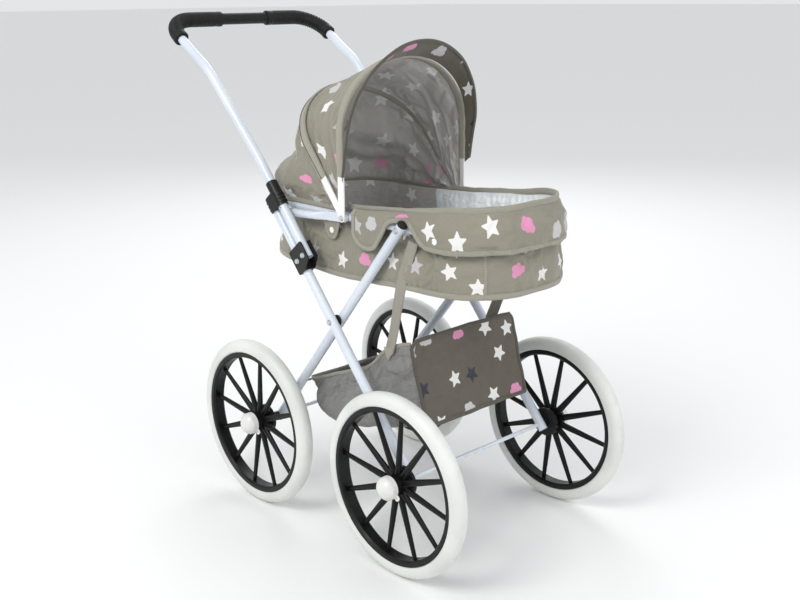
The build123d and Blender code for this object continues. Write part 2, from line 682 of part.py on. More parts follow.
with BuildPart() as strut:
    tab_mid = (STRUT_TAB_Y[0] + STRUT_TAB_Y[1]) / 2
    tab_thick = STRUT_TAB_Y[1] - STRUT_TAB_Y[0]
    with BuildSketch(strut_section(0, -tab_mid)):
        Rectangle(tab_thick, 13)
    extrude(amount=TAB_END)
    with BuildSketch(side_plane(COT_PIVOT, -STRUT_TAB_Y[1])):
        Circle(6.5)
    extrude(amount=tab_thick)
    with BuildSketch(strut_section(TAB_END, -tab_mid)):
        RectangleRounded(tab_thick, 13, 1.4)
    with BuildSketch(strut_section(TUBE_START, -STRUT_Y)):
        RectangleRounded(12, 12, 5.9)
    loft()
    with BuildSketch(strut_section(TUBE_START, -STRUT_Y)):
        Circle(6.0)
    extrude(amount=strut_length - TUBE_START + 4)
    with BuildSketch(strut_section(strut_length + 4, -STRUT_Y)):
        Circle(4.9)
    extrude(amount=-30, mode=Mode.SUBTRACT)
    drill(COT_PIVOT, -140, -100, RIVET_R + RUNNING)
save_pair(strut.part, "strut")

with BuildPart() as strut_plug:
    with BuildSketch(strut_section(strut_length + 4, -STRUT_Y)):
        Circle(6.2)
    extrude(amount=3.0)
    fillet(strut_plug.faces().sort_by(Axis(origin=(0, 0, 0), direction=strut_axis))[-1].edges(), 2.0)
    with BuildSketch(strut_section(strut_length + 4, -STRUT_Y)):
        Circle(4.85)
    extrude(amount=-5)
save(both_sides(strut_plug.part), "strut_plugs")


# ---------------------------------------------------------------- hood
def hood_plane(angle):
    """A plane through the hood pivots: local x radial at that angle from +X, local y along +Y."""
    a = radians(angle)
    return Plane(origin=COT_PIVOT, x_dir=(cos(a), 0, sin(a)), z_dir=(-sin(a), 0, cos(a)))


def arch(foot, half, top, thick):
    """A U-shaped band: straight sides up from the foot and a half-ellipse over the top."""
    with BuildSketch() as band:
        for inset, mode in ((0.0, Mode.ADD), (thick, Mode.SUBTRACT)):
            w = half - inset
            rise = top - inset - HOOD_STRAIGHT
            start = foot - inset
            with BuildLine():
                Line((start, -w), (HOOD_STRAIGHT, -w))
                EllipticalCenterArc((HOOD_STRAIGHT, 0), rise, w, start_angle=-90, arc_size=180)
                Polyline((HOOD_STRAIGHT, w), (start, w), (start, -w))
            make_face(mode=mode)
    return band.sketch


HOOD_AXIS = Axis(COT_PIVOT, (0, -1, 0))


def hood_shell(angle_from, angle_to, half, top, thick):
    """One cloth panel of the hood, turned about the pivots between two angles."""
    panel = arch(HOOD_FOOT, half, top, thick)
    with BuildPart() as shell:
        with BuildSketch(hood_plane(angle_from)):
            add(panel)
        revolve(axis=HOOD_AXIS, revolution_arc=angle_to - angle_from)
    return shell.part


def bow(angle, y_band):
    """A flat plastic bow with round feet on the pivot rivets."""
    half = y_band[1]
    with BuildPart() as strip:
        with BuildSketch(hood_plane(angle).offset(-BOW_WIDTH / 2)):
            add(arch(0.0, half, BOW_R, BOW_THICK))
        extrude(amount=BOW_WIDTH)
        for sign in (-1, 1):
            with BuildSketch(side_plane(COT_PIVOT, sign * y_band[0])):
                Circle(BOW_WIDTH / 2)
            extrude(amount=sign * (y_band[1] - y_band[0]))
        drill(COT_PIVOT, -140, 140, RIVET_R + RUNNING)
    return strip.part


# the rear panel's hem dips further, behind the stretch where the ring is in its way
rear_panel = hood_shell(MID_ANGLE, REAR_EDGE_ANGLE, *REAR_PANEL)
hem_outline = arch(90.0, *REAR_PANEL)
with BuildPart() as hood_rear:
    add(rear_panel)
    with BuildSketch(hood_plane(REAR_EDGE_ANGLE)):
        add(hem_outline)
    revolve(axis=HOOD_AXIS, revolution_arc=4.0)
save(hood_rear.part, "hood_rear")
save(hood_shell(FRONT_ANGLE, MID_ANGLE, 113.6, 211.3, 1.6), "hood_front")
save(bow(MID_ANGLE, MID_BOW_Y), "hood_bow_middle")
save(bow(FRONT_ANGLE, FRONT_BOW_Y), "hood_bow_front")

with BuildPart() as visor:
    with BuildSketch(hood_plane(FRONT_ANGLE - 3.0)):
        add(arch(60.0, 122.6, 217.0, 1.5))
    with BuildSketch(hood_plane(VISOR_ANGLE)):
        add(arch(60.0, 125.4, 241.0, 1.5))
    loft()
save(visor.part, "hood_visor")

# ---------------------------------------------------------------- tray and its straps
TRAY_SIDE = [
    (-55, 199),
    (-36, 150),
    (22, 148),
    (139, 179),
    (197, 193),
    (166, 308),
    (124, 293),
    (82, 258),
    (10, 227),
]
TRAY_SIDE = [(x + X_SHIFT, z) for x, z in TRAY_SIDE]

with BuildPart() as tray:
    with BuildSketch(Plane.XZ):
        with BuildLine():
            Polyline(*TRAY_SIDE, close=True)
        make_face()
    extrude(amount=TRAY_HALF, both=True)
    # hollow it from above: the cavity follows the floor and both ends at the wall's thickness
    floor = TRAY_SIDE[:6]
    inside = [
        (floor[0][0] + 2.0, floor[0][1] + 40),
        (floor[0][0] + 1.8, floor[0][1]),
        (floor[1][0] + 1.6, floor[1][1] + 1.6),
        (floor[2][0], floor[2][1] + 1.6),
        (floor[3][0], floor[3][1] + 1.7),
        (floor[4][0] - 2.0, floor[4][1] + 1.4),
        (floor[5][0] - 2.0, floor[5][1] + 1.0),
        (floor[5][0] - 2.0, floor[5][1] + 40),
    ]
    with BuildSketch(Plane.XZ):
        with BuildLine():
            Polyline(*inside, close=True)
        make_face()
    extrude(amount=TRAY_HALF - TRAY_WALL, both=True, mode=Mode.SUBTRACT)
    with BuildSketch(side_plane(TRAY_ROD, -TRAY_HALF + 2)):
        Circle(5.0)
    extrude(amount=2 * TRAY_HALF - 4)
    drill(TRAY_ROD, -130, 130, TRAY_ROD_R + 0.1)
save(tray.part, "tray")

STRAP_ROUTE = [
    (178 + X_SHIFT, -111.5, 446),
    (156 + X_SHIFT, -111.3, 384),
    (125 + X_SHIFT, -103.3, 290),
]
with BuildPart() as strap:
    for upper, lower in zip(STRAP_ROUTE, STRAP_ROUTE[1:]):
        for end in (upper, lower):
            with BuildSketch(Plane(origin=end, x_dir=(1, 0, 0), z_dir=(0, 0, -1))):
                Rectangle(STRAP_WIDTH, STRAP_THICK)
        loft()
save_pair(strap.part, "tray_strap")
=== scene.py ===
"""Looks of the doll pram: cloth, tubes, wheels, light and camera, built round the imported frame.

Lengths are in millimetres until a mesh is made, in the frame's own axes: +X towards the toe,
+Y to the doll's left, +Z up. Each cloth piece is a grid of points over its real outline, and its
UV map holds the cloth's own lengths in metres, so that print and weave keep their size.
"""

import math

import bpy
import numpy as np
from mathutils import Matrix, Vector, noise


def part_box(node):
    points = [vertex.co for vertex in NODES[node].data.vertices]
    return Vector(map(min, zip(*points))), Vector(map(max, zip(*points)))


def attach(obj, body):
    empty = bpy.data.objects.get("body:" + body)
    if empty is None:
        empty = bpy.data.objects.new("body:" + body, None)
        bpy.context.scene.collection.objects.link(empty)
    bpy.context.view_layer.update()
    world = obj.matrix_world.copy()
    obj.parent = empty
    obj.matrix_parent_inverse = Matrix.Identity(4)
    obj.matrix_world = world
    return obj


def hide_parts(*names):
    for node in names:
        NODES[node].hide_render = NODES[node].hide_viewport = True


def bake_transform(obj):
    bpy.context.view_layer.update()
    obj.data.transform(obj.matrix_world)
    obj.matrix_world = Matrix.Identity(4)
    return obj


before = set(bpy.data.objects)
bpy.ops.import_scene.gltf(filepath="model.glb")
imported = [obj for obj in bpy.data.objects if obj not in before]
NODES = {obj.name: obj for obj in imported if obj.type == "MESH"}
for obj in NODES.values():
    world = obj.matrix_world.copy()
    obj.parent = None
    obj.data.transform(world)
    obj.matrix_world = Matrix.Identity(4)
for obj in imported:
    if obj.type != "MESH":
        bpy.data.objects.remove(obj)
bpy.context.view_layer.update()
MM = 0.001

# ------------------------------------------------------------------ sizes shared with the frame
PIVOT = np.array([55.5, 0.0, 466.0])
RING_REAR, RING_FRONT, RING_HALF, RING_CORNER, RING_Z = -154.0, 302.0, 106.0, 84.0, 466.0
RING_MID = (RING_REAR + RING_FRONT) / 2
TUB_BOTTOM = 388.0
MID_ANGLE, FRONT_ANGLE, VISOR_ANGLE = 128.5, 90.0, 79.5
STRAIGHT = 115.0


# ------------------------------------------------------------------ small vector tools
def unit(v):
    """Rows of v, each scaled to length one."""
    v = np.asarray(v, float)
    return v / np.maximum(np.linalg.norm(v, axis=-1, keepdims=True), 1e-12)


def smooth(x, lo, hi):
    """0 below lo, 1 above hi, and a smooth step between them."""
    t = np.clip((np.asarray(x, float) - lo) / (hi - lo), 0, 1)
    return t * t * (3 - 2 * t)


def bell(x, centre, width):
    """A bump of height one."""
    return np.exp(-(((np.asarray(x, float) - centre) / width) ** 2))


def wander(points, size, seed, octaves=2):
    """Smooth noise in -1..1 at each point, with features about `size` mm across."""
    flat = np.asarray(points, float).reshape(-1, 3)
    out = np.zeros(len(flat))
    gain = 1.0
    for k in range(octaves):
        out += gain * np.array(
            [noise.noise(Vector(p / size * 2**k) + Vector((seed, 2.3 * k, 0))) for p in flat]
        )
        gain *= 0.5
    return out.reshape(np.asarray(points).shape[:-1])


def spline(points, count):
    """count points evenly spaced along a Catmull-Rom curve through the given ones."""
    p = np.asarray(points, float)
    p = np.vstack([2 * p[0] - p[1], p, 2 * p[-1] - p[-2]])
    out = []
    for k in range(1, len(p) - 2):
        for t in np.linspace(0, 1, 24, endpoint=False):
            a, b, c, d = p[k - 1], p[k], p[k + 1], p[k + 2]
            out.append(
                0.5
                * (
                    2 * b
                    + (c - a) * t
                    + (2 * a - 5 * b + 4 * c - d) * t**2
                    + (3 * b - a - 3 * c + d) * t**3
                )
            )
    out.append(p[-2])
    return evenly(np.array(out), count)


def evenly(path, count):
    """The same path with evenly spaced points."""
    s = np.concatenate([[0], np.cumsum(np.linalg.norm(np.diff(path, axis=0), axis=1))])
    want = np.linspace(0, s[-1], count)
    return np.stack([np.interp(want, s, path[:, k]) for k in range(path.shape[1])], 1)


def lengths(path, closed=False):
    """Running length along a path; a closed one has one value more than it has points."""
    p = np.vstack([path, path[:1]]) if closed else path
    return np.concatenate([[0], np.cumsum(np.linalg.norm(np.diff(p, axis=0), axis=1))])


# ------------------------------------------------------------------ meshes
def make(name, verts, faces, material, uv=None, body=None, slot=None):
    """A smooth-shaded mesh piece from points in millimetres; uv is one pair per face corner, in metres."""
    me = bpy.data.meshes.new(name)
    me.from_pydata((np.asarray(verts, float) * MM).tolist(), [], [tuple(map(int, f)) for f in faces])
    me.update()
    if uv is not None:
        layer = me.uv_layers.new(name="cloth")
        layer.data.foreach_set("uv", np.asarray(uv, np.float32).ravel())
    me.polygons.foreach_set("use_smooth", [True] * len(me.polygons))
    me.materials.append(material)
    ob = bpy.data.objects.new(name, me)
    bpy.context.scene.collection.objects.link(ob)
    if body:
        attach(ob, body)
    return ob


def grid_faces(n, m, closed_n=False, closed_m=False):
    """Quads of an n by m grid of points, and for each corner its (row, column) before wrapping."""
    rows = np.arange(n if closed_n else n - 1)
    cols = np.arange(m if closed_m else m - 1)
    i, j = np.meshgrid(rows, cols, indexing="ij")
    i, j = i.ravel(), j.ravel()
    corner_i = np.stack([i, i + 1, i + 1, i], 1)
    corner_j = np.stack([j, j, j + 1, j + 1], 1)
    return (corner_i % n) * m + corner_j % m, corner_i, corner_j


def cloth(name, points, material, closed=False, offset=(0.0, 0.0), **more):
    """A sheet of cloth from an n by m by 3 array; closed joins the last row to the first."""
    n, m, _ = points.shape
    faces, ci, cj = grid_faces(n, m, closed_n=closed)
    mid = points[:, m // 2]
    along = lengths(mid, closed) * MM
    across = np.mean([lengths(points[k]) for k in range(0, n, max(1, n // 12))], axis=0) * MM
    if not closed:
        along = along[:n]
    uv = np.stack([along[ci] + offset[0], across[cj] + offset[1]], -1)
    return make(name, points.reshape(-1, 3), faces, material, uv, **more)


def sweep(name, path, normals, half_thick, half_wide, material, closed=False, sides=12, square=1.0, **more):
    """A cord or folded binding along a path. half_thick is along the normals and half_wide across them."""
    path, normals = np.asarray(path, float), np.asarray(normals, float)
    if normals.ndim == 1:
        normals = np.tile(normals, (len(path), 1))
    if closed:
        tangent = unit(np.roll(path, -1, 0) - np.roll(path, 1, 0))
    else:
        tangent = unit(np.gradient(path, axis=0))
    n = unit(normals - (normals * tangent).sum(1, keepdims=True) * tangent)
    b = np.cross(tangent, n)
    half_thick = np.broadcast_to(half_thick, len(path))[:, None, None]
    half_wide = np.broadcast_to(half_wide, len(path))[:, None, None]
    angle = np.linspace(0, 2 * math.pi, sides, endpoint=False)
    c = np.sign(np.cos(angle)) * np.abs(np.cos(angle)) ** square
    s = np.sign(np.sin(angle)) * np.abs(np.sin(angle)) ** square
    rings = (
        path[:, None]
        + half_thick * c[None, :, None] * n[:, None]
        + half_wide * s[None, :, None] * b[:, None]
    )
    faces, ci, cj = grid_faces(len(path), sides, closed, True)
    along = lengths(path, closed) * MM
    uv = np.stack([along[ci], cj / sides], -1)
    verts = rings.reshape(-1, 3)
    faces, uv = faces.tolist(), uv.reshape(-1, 2).tolist()
    if not closed:
        for end, order in ((0, range(sides)), (len(path) - 1, range(sides - 1, -1, -1))):
            verts = np.vstack([verts, path[end]])
            ids = [end * sides + k for k in order]
            for k in range(sides):
                faces.append([len(verts) - 1, ids[(k + 1) % sides], ids[k]])
                uv += [(along[end], 0.5)] * 3
    return make(name, verts, faces, material, uv, **more)


# ------------------------------------------------------------------ shader tools
class Tree:
    """Short names for building a node tree; numbers go straight onto sockets."""

    def __init__(self, tree):
        self.tree = tree

    def add(self, kind, **settings):
        made = self.tree.nodes.new("ShaderNode" + kind)
        for key, value in settings.items():
            setattr(made, key, value)
        return made

    def put(self, value, socket):
        if isinstance(value, bpy.types.NodeSocket):
            self.tree.links.new(value, socket)
        else:
            socket.default_value = value

    def math(self, op, *values):
        made = self.add("Math", operation=op)
        for k, value in enumerate(values):
            self.put(value, made.inputs[k])
        return made.outputs[0]

    def vector(self, op, *values, out="Vector"):
        made = self.add("VectorMath", operation=op)
        for k, value in enumerate(values):
            self.put(value, made.inputs[3 if op == "SCALE" and k == 1 else k])
        return made.outputs[out]

    def noise(self, vector, scale, detail=2.0, rough=0.5, distort=0.0, out="Fac"):
        made = self.add("TexNoise")
        self.put(vector, made.inputs["Vector"])
        made.inputs["Scale"].default_value = scale
        made.inputs["Detail"].default_value = detail
        made.inputs["Roughness"].default_value = rough
        made.inputs["Distortion"].default_value = distort
        return made.outputs[out]

    def remap(self, value, lo, hi, to_lo=0.0, to_hi=1.0, shape="SMOOTHSTEP"):
        made = self.add("MapRange", interpolation_type=shape)
        self.put(value, made.inputs["Value"])
        for name, number in (("From Min", lo), ("From Max", hi), ("To Min", to_lo), ("To Max", to_hi)):
            made.inputs[name].default_value = number
        return made.outputs["Result"]

    def mix(self, factor, a, b, mode="MIX"):
        made = self.add("Mix", data_type="RGBA", blend_type=mode)
        self.put(factor, made.inputs["Factor"])
        self.put(rgba(a), made.inputs["A"])
        self.put(rgba(b), made.inputs["B"])
        return made.outputs["Result"]

    def bump(self, height, distance, strength=1.0, after=None):
        made = self.add("Bump")
        made.inputs["Strength"].default_value = strength
        made.inputs["Distance"].default_value = distance
        self.put(height, made.inputs["Height"])
        if after is not None:
            self.put(after, made.inputs["Normal"])
        return made.outputs["Normal"]


def rgba(c):
    return (*c, 1.0) if isinstance(c, tuple) and len(c) == 3 else c


def material(name, color, roughness, normal=None, **sockets):
    """A Principled material. color, roughness and normal are values or functions of the Tree."""
    mat = bpy.data.materials.new(name)
    mat.use_nodes = True
    t = Tree(mat.node_tree)
    t.tree.nodes.clear()
    shader = t.add("BsdfPrincipled")
    t.tree.links.new(shader.outputs[0], t.add("OutputMaterial").inputs["Surface"])
    for value, socket in ((color, "Base Color"), (roughness, "Roughness"), (normal, "Normal")):
        if value is not None:
            t.put(rgba(value(t)) if callable(value) else rgba(value), shader.inputs[socket])
    for key, value in sockets.items():
        shader.inputs[key.replace("_", " ")].default_value = rgba(value)
    return mat


def place(t, which="Object"):
    return t.add("TexCoord").outputs[which]


# ------------------------------------------------------------------ the printed cloth's motifs
CELL = 0.050  # one motif in each cell of the print, metres
STAR_TIP, STAR_DIP = 13.6, 6.5
CLOUD = ((0.0, -1.5, 6.6), (-6.8, -2.4, 4.7), (7.0, -2.2, 4.8), (-2.9, 3.5, 5.3), (3.8, 4.0, 4.6))


def motif_group():
    """Scattered stars and clouds on cloth lengths in metres. Gives their colour and cover."""
    tree = bpy.data.node_groups.new("motifs", "ShaderNodeTree")
    tree.interface.new_socket("Vector", in_out="INPUT", socket_type="NodeSocketVector")
    tree.interface.new_socket("Color", in_out="OUTPUT", socket_type="NodeSocketColor")
    tree.interface.new_socket("Cover", in_out="OUTPUT", socket_type="NodeSocketFloat")
    t = Tree(tree)
    entry = tree.nodes.new("NodeGroupInput").outputs[0]
    leave = tree.nodes.new("NodeGroupOutput")
    xyz = t.add("SeparateXYZ")
    t.put(t.vector("SCALE", entry, 1 / CELL), xyz.inputs[0])
    v = xyz.outputs[1]
    row = t.math("FLOOR", v)
    u = t.math("ADD", xyz.outputs[0], t.math("MULTIPLY", t.math("MODULO", row, 2.0), 0.5))
    column = t.math("FLOOR", u)
    cell = t.add("CombineXYZ")
    t.put(column, cell.inputs[0])
    t.put(row, cell.inputs[1])
    dice = t.add("TexWhiteNoise", noise_dimensions="3D")
    t.put(cell.outputs[0], dice.inputs["Vector"])
    shift = t.add("SeparateColor")
    t.put(dice.outputs["Color"], shift.inputs[0])

    def local(value, index, random):
        part = t.math("SUBTRACT", t.math("SUBTRACT", value, index), 0.5)
        moved = t.math("MULTIPLY", t.math("SUBTRACT", random, 0.5), 0.42)
        return t.math("MULTIPLY", t.math("SUBTRACT", part, moved), CELL * 1000)

    x = local(u, column, shift.outputs[0])
    y = local(v, row, shift.outputs[1])
    turn = t.math("MULTIPLY", t.math("SUBTRACT", shift.outputs[2], 0.5), 0.9)
    cos, sin = t.math("COSINE", turn), t.math("SINE", turn)
    px = t.math("SUBTRACT", t.math("MULTIPLY", x, cos), t.math("MULTIPLY", y, sin))
    py = t.math("ADD", t.math("MULTIPLY", x, sin), t.math("MULTIPLY", y, cos))
    # star: fold the angle into one tenth of a turn and measure from the edge between tip and dip
    radius = t.math("SQRT", t.math("ADD", t.math("MULTIPLY", px, px), t.math("MULTIPLY", py, py)))
    fifth = 2 * math.pi / 5
    folded = t.math(
        "ABSOLUTE",
        t.math("SUBTRACT", t.math("FLOORED_MODULO", t.math("ARCTAN2", py, px), fifth), fifth / 2),
    )
    sx = t.math("MULTIPLY", radius, t.math("COSINE", folded))
    sy = t.math("MULTIPLY", radius, t.math("SINE", folded))
    bx, by = STAR_DIP * math.cos(fifth / 2), STAR_DIP * math.sin(fifth / 2)
    size = math.hypot(bx - STAR_TIP, by)
    edge = t.math("MULTIPLY", t.math("SUBTRACT", sx, STAR_TIP), -by / size)
    star = t.math("SUBTRACT", edge, t.math("MULTIPLY", sy, (STAR_TIP - bx) / size))
    star = t.math("MINIMUM", star, t.math("SUBTRACT", STAR_TIP - 1.3, radius))
    cloud = None
    for cx, cy, r in CLOUD:
        dx, dy = t.math("SUBTRACT", px, cx), t.math("SUBTRACT", py, cy)
        far = t.math("SQRT", t.math("ADD", t.math("MULTIPLY", dx, dx), t.math("MULTIPLY", dy, dy)))
        inside = t.math("SUBTRACT", r, far)
        cloud = inside if cloud is None else t.math("SMOOTH_MAX", cloud, inside, 0.6)
    pick = t.add("TexWhiteNoise", noise_dimensions="4D")
    t.put(cell.outputs[0], pick.inputs["Vector"])
    pick.inputs["W"].default_value = 3.7
    kind = pick.outputs["Value"]
    is_cloud = t.math("MULTIPLY", t.math("GREATER_THAN", kind, 0.58), t.math("LESS_THAN", kind, 0.84))
    inside = t.math(
        "ADD",
        t.math("MULTIPLY", cloud, is_cloud),
        t.math("MULTIPLY", star, t.math("SUBTRACT", 1.0, is_cloud)),
    )
    t.put(t.remap(inside, -0.12, 0.12), leave.inputs["Cover"])
    # kind: white star, grey star, grey cloud, pink cloud, pink star, navy star
    color = (0.80, 0.80, 0.78)
    for limit, tint in (
        (0.44, (0.50, 0.49, 0.49)),
        (0.58, (0.56, 0.55, 0.56)),
        (0.70, (0.72, 0.29, 0.47)),
        (0.84, (0.74, 0.31, 0.49)),
        (0.88, (0.030, 0.032, 0.045)),
    ):
        color = t.mix(t.math("GREATER_THAN", kind, limit), color, tint)
    t.put(color, leave.inputs["Color"])
    return tree


MOTIFS = motif_group()


def weave(t, thread, strength, after=None):
    """Crossing threads on the cloth's own lengths."""
    xyz = t.add("SeparateXYZ")
    t.put(place(t, "UV"), xyz.inputs[0])
    waves = []
    for k in (0, 1):
        turns = t.math("MULTIPLY", xyz.outputs[k], 2 * math.pi / thread)
        waves.append(t.math("ABSOLUTE", t.math("SINE", turns)))
    return t.bump(t.math("MAXIMUM", *waves), 0.00025, strength, after)


def creases(t, scale, distance, strength=1.0):
    """Soft handling creases, longer one way than the other."""
    stretch = t.add("Mapping")
    stretch.inputs["Scale"].default_value = (1.0, 2.2, 1.0)
    stretch.inputs["Rotation"].default_value = (0.0, 0.0, 0.5)
    t.put(place(t, "UV"), stretch.inputs["Vector"])
    folds = t.noise(stretch.outputs[0], scale, 3.0, 0.45, 0.6)
    ridge = t.math("ABSOLUTE", t.math("SUBTRACT", folds, 0.5))
    return t.bump(
        t.math("SUBTRACT", 1.0, t.math("POWER", t.math("MULTIPLY", ridge, 2.0), 0.7)), distance, strength
    )


def heather(t, base, amount=0.10):
    """Thread-to-thread tone, and slow handling marks, on a cloth colour."""
    uv = place(t, "UV")
    fine = t.noise(uv, 900.0, 2.0, 0.7)
    slow = t.noise(uv, 14.0, 3.0)
    tone = t.math("ADD", t.math("MULTIPLY", fine, amount * 2.6), t.math("MULTIPLY", slow, amount * 1.4))
    dark = tuple(c * (1 - amount * 1.4) for c in base)
    light = tuple(min(1.0, c * (1 + amount)) for c in base)
    return t.mix(t.remap(tone, amount * 1.2, amount * 2.8), dark, light)


def printed(t, base, fade):
    """The printed cloth; fade is how much of the motifs' own colour is lost."""
    ground = heather(t, base)
    motifs = t.add("Group")
    motifs.node_tree = MOTIFS
    t.put(place(t, "UV"), motifs.inputs[0])
    ink = t.math("MULTIPLY", motifs.outputs["Cover"], 1.0 - fade)
    worn = t.remap(t.noise(place(t, "UV"), 1500.0, 1.0), 0.28, 0.42, 0.72, 1.0)
    return t.mix(t.math("MULTIPLY", ink, worn), ground, motifs.outputs["Color"])


TAUPE = (0.272, 0.256, 0.203)
TAUPE_PALE = (0.365, 0.348, 0.285)


def printed_material(name, base, fade, crease):
    return material(
        name,
        lambda t: printed(t, base, fade),
        lambda t: t.remap(t.noise(place(t, "UV"), 60.0, 3.0), 0.3, 0.7, 0.62, 0.80),
        lambda t: weave(t, 0.0011, 0.55, creases(t, 26.0, crease, 0.9)),
        Sheen_Weight=0.25,
        Sheen_Roughness=0.45,
        Specular_IOR_Level=0.35,
    )


PRINT = printed_material("printed_cloth", TAUPE, 0.0, 0.0009)
PRINT_INSIDE = printed_material("printed_cloth_inside", (0.47, 0.455, 0.43), 0.25, 0.0014)
PRINT_DARK = printed_material("printed_cloth_dark", (0.118, 0.104, 0.082), 0.0, 0.0008)


def stitched(t):
    """Two rows of stitches along a binding: short raised dashes with a dimple between."""
    xyz = t.add("SeparateXYZ")
    t.put(place(t, "UV"), xyz.inputs[0])
    dash = t.remap(t.math("SINE", t.math("MULTIPLY", xyz.outputs[0], 2 * math.pi / 0.0036)), -0.35, 0.1)
    rows = None
    for centre in (0.12, 0.38, 0.62, 0.88):
        off = t.math("ABSOLUTE", t.math("SUBTRACT", xyz.outputs[1], centre))
        line = t.remap(off, 0.012, 0.03, 1.0, 0.0)
        rows = line if rows is None else t.math("MAXIMUM", rows, line)
    return t.math("MULTIPLY", rows, dash), rows


def binding_material(name, base, thread):
    def color(t):
        stitch, rows = stitched(t)
        # The stitch rows are darkened in the colour: painted shade in their sunk line; the dashes keep the
        # thread's colour.
        shaded_rows = t.mix(t.math("MULTIPLY", rows, 0.55), heather(t, base, 0.12), tuple(c * 0.55 for c in base))
        return t.mix(stitch, shaded_rows, thread)

    def normal(t):
        stitch, rows = stitched(t)
        height = t.math("SUBTRACT", t.math("MULTIPLY", stitch, 1.3), rows)
        pucker = t.noise(place(t, "UV"), 160.0, 2.0)
        return weave(t, 0.0009, 0.4, t.bump(t.math("ADD", height, pucker), 0.0007, 0.9))

    return material(name, color, 0.74, normal, Sheen_Weight=0.2, Specular_IOR_Level=0.3)


BINDING = binding_material("taupe_binding", TAUPE_PALE, (0.50, 0.47, 0.40))
BINDING_DARK = binding_material("dark_binding", (0.105, 0.093, 0.075), (0.16, 0.15, 0.12))
LINING = material(
    "silver_lining",
    lambda t: t.mix(
        t.remap(t.noise(place(t, "UV"), 22.0, 4.0, 0.6), 0.32, 0.68), (0.64, 0.68, 0.70), (0.84, 0.87, 0.89)
    ),
    lambda t: t.remap(t.noise(place(t, "UV"), 45.0, 3.0), 0.3, 0.7, 0.34, 0.56),
    lambda t: weave(t, 0.0009, 0.25, creases(t, 8.0, 0.004, 0.8)),
    Sheen_Weight=0.15,
    Metallic=0.05,
)


def net(t):
    """Cover of a knitted net: 1 on the yarn, 0 in the small holes."""
    xyz = t.add("SeparateXYZ")
    t.put(place(t, "UV"), xyz.inputs[0])
    waves = []
    for sign in (1, -1):
        lean = t.math("ADD", xyz.outputs[0], t.math("MULTIPLY", xyz.outputs[1], float(sign)))
        waves.append(t.math("ABSOLUTE", t.math("SINE", t.math("MULTIPLY", lean, math.pi / 0.0021))))
    return t.math("SUBTRACT", 1.0, t.math("MINIMUM", *waves))


NET = material(
    "grey_net",
    # The holes are painted near black: painted shade of what lies behind the net.
    lambda t: t.mix(t.remap(net(t), 0.15, 0.6), (0.10, 0.098, 0.094), (0.33, 0.325, 0.315)),
    0.7,
    lambda t: t.bump(net(t), 0.0006, 0.8, creases(t, 22.0, 0.005, 0.9)),
    Sheen_Weight=0.3,
)
WEBBING = material(
    "taupe_webbing",
    lambda t: heather(t, (0.37, 0.345, 0.285), 0.14),
    0.72,
    lambda t: weave(t, 0.0016, 0.9, creases(t, 30.0, 0.0012, 0.7)),
    Sheen_Weight=0.2,
)


# ------------------------------------------------------------------ hard materials
def worn_edges(t, lo, hi):
    return t.remap(t.add("NewGeometry").outputs["Pointiness"], lo, hi)


def enamel_color(t):
    p = place(t)
    base = t.mix(t.remap(t.noise(p, 9.0, 2.0), 0.35, 0.65), (0.60, 0.655, 0.74), (0.68, 0.73, 0.80))
    scuffs = t.math(
        "MULTIPLY", t.remap(t.noise(p, 240.0, 3.0, 0.7), 0.66, 0.72), t.remap(t.noise(p, 12.0), 0.5, 0.62)
    )
    return t.mix(scuffs, base, (0.50, 0.52, 0.55))


ENAMEL = material(
    "white_enamel",
    enamel_color,
    lambda t: t.remap(t.noise(place(t), 70.0, 2.0), 0.3, 0.7, 0.20, 0.34),
    lambda t: t.bump(t.noise(place(t), 420.0, 1.0), 0.00012, 0.35),
    Coat_Weight=0.5,
    Coat_Roughness=0.12,
)


def moulded(name, dark, light, rough, grain=900.0, **more):
    """Moulded plastic: fine grain, slow gloss variation and paler scuffed edges."""

    def color(t):
        tone = t.mix(t.remap(t.noise(place(t), 30.0, 3.0), 0.35, 0.65), dark, light)
        edge = tuple(min(1.0, c * 1.5 + 0.01) for c in light)
        return t.mix(t.math("MULTIPLY", worn_edges(t, 0.53, 0.60), 0.5), tone, edge)

    return material(
        name,
        color,
        lambda t: t.remap(t.noise(place(t), 55.0, 4.0), 0.3, 0.7, rough - 0.06, rough + 0.08),
        lambda t: t.bump(t.noise(place(t), grain, 2.0), 0.00015, 0.5),
        **more,
    )


BLACK = moulded(
    "black_plastic", (0.004, 0.004, 0.0045), (0.008, 0.008, 0.0085), 0.36, Specular_IOR_Level=0.32
)
WHEEL = moulded(
    "wheel_plastic", (0.002, 0.002, 0.0024), (0.004, 0.004, 0.0044), 0.38, Specular_IOR_Level=0.22
)
WHITE = moulded("white_plastic", (0.70, 0.70, 0.68), (0.77, 0.77, 0.75), 0.30, Coat_Weight=0.2)
STEEL = material(
    "zinc_steel",
    lambda t: t.mix(t.remap(t.noise(place(t), 160.0, 3.0), 0.3, 0.7), (0.52, 0.53, 0.55), (0.70, 0.71, 0.73)),
    lambda t: t.remap(t.noise(place(t), 260.0, 3.0), 0.3, 0.7, 0.22, 0.42),
    lambda t: t.bump(t.noise(place(t), 800.0, 2.0), 0.0001, 0.4),
    Metallic=1.0,
)


def tyre_color(t):
    xyz = t.add("SeparateXYZ")
    t.put(t.add("NewGeometry").outputs["Normal"], xyz.inputs[0])
    tread = t.remap(t.math("ABSOLUTE", xyz.outputs[1]), 0.15, 0.55, 1.0, 0.0)
    base = t.mix(t.remap(t.noise(place(t), 12.0, 3.0), 0.35, 0.65), (0.66, 0.675, 0.65), (0.74, 0.755, 0.73))
    dust = t.remap(t.noise(place(t), 60.0, 4.0, 0.65), 0.42, 0.68)
    return t.mix(t.math("MULTIPLY", t.math("MULTIPLY", tread, dust), 0.28), base, (0.52, 0.51, 0.47))


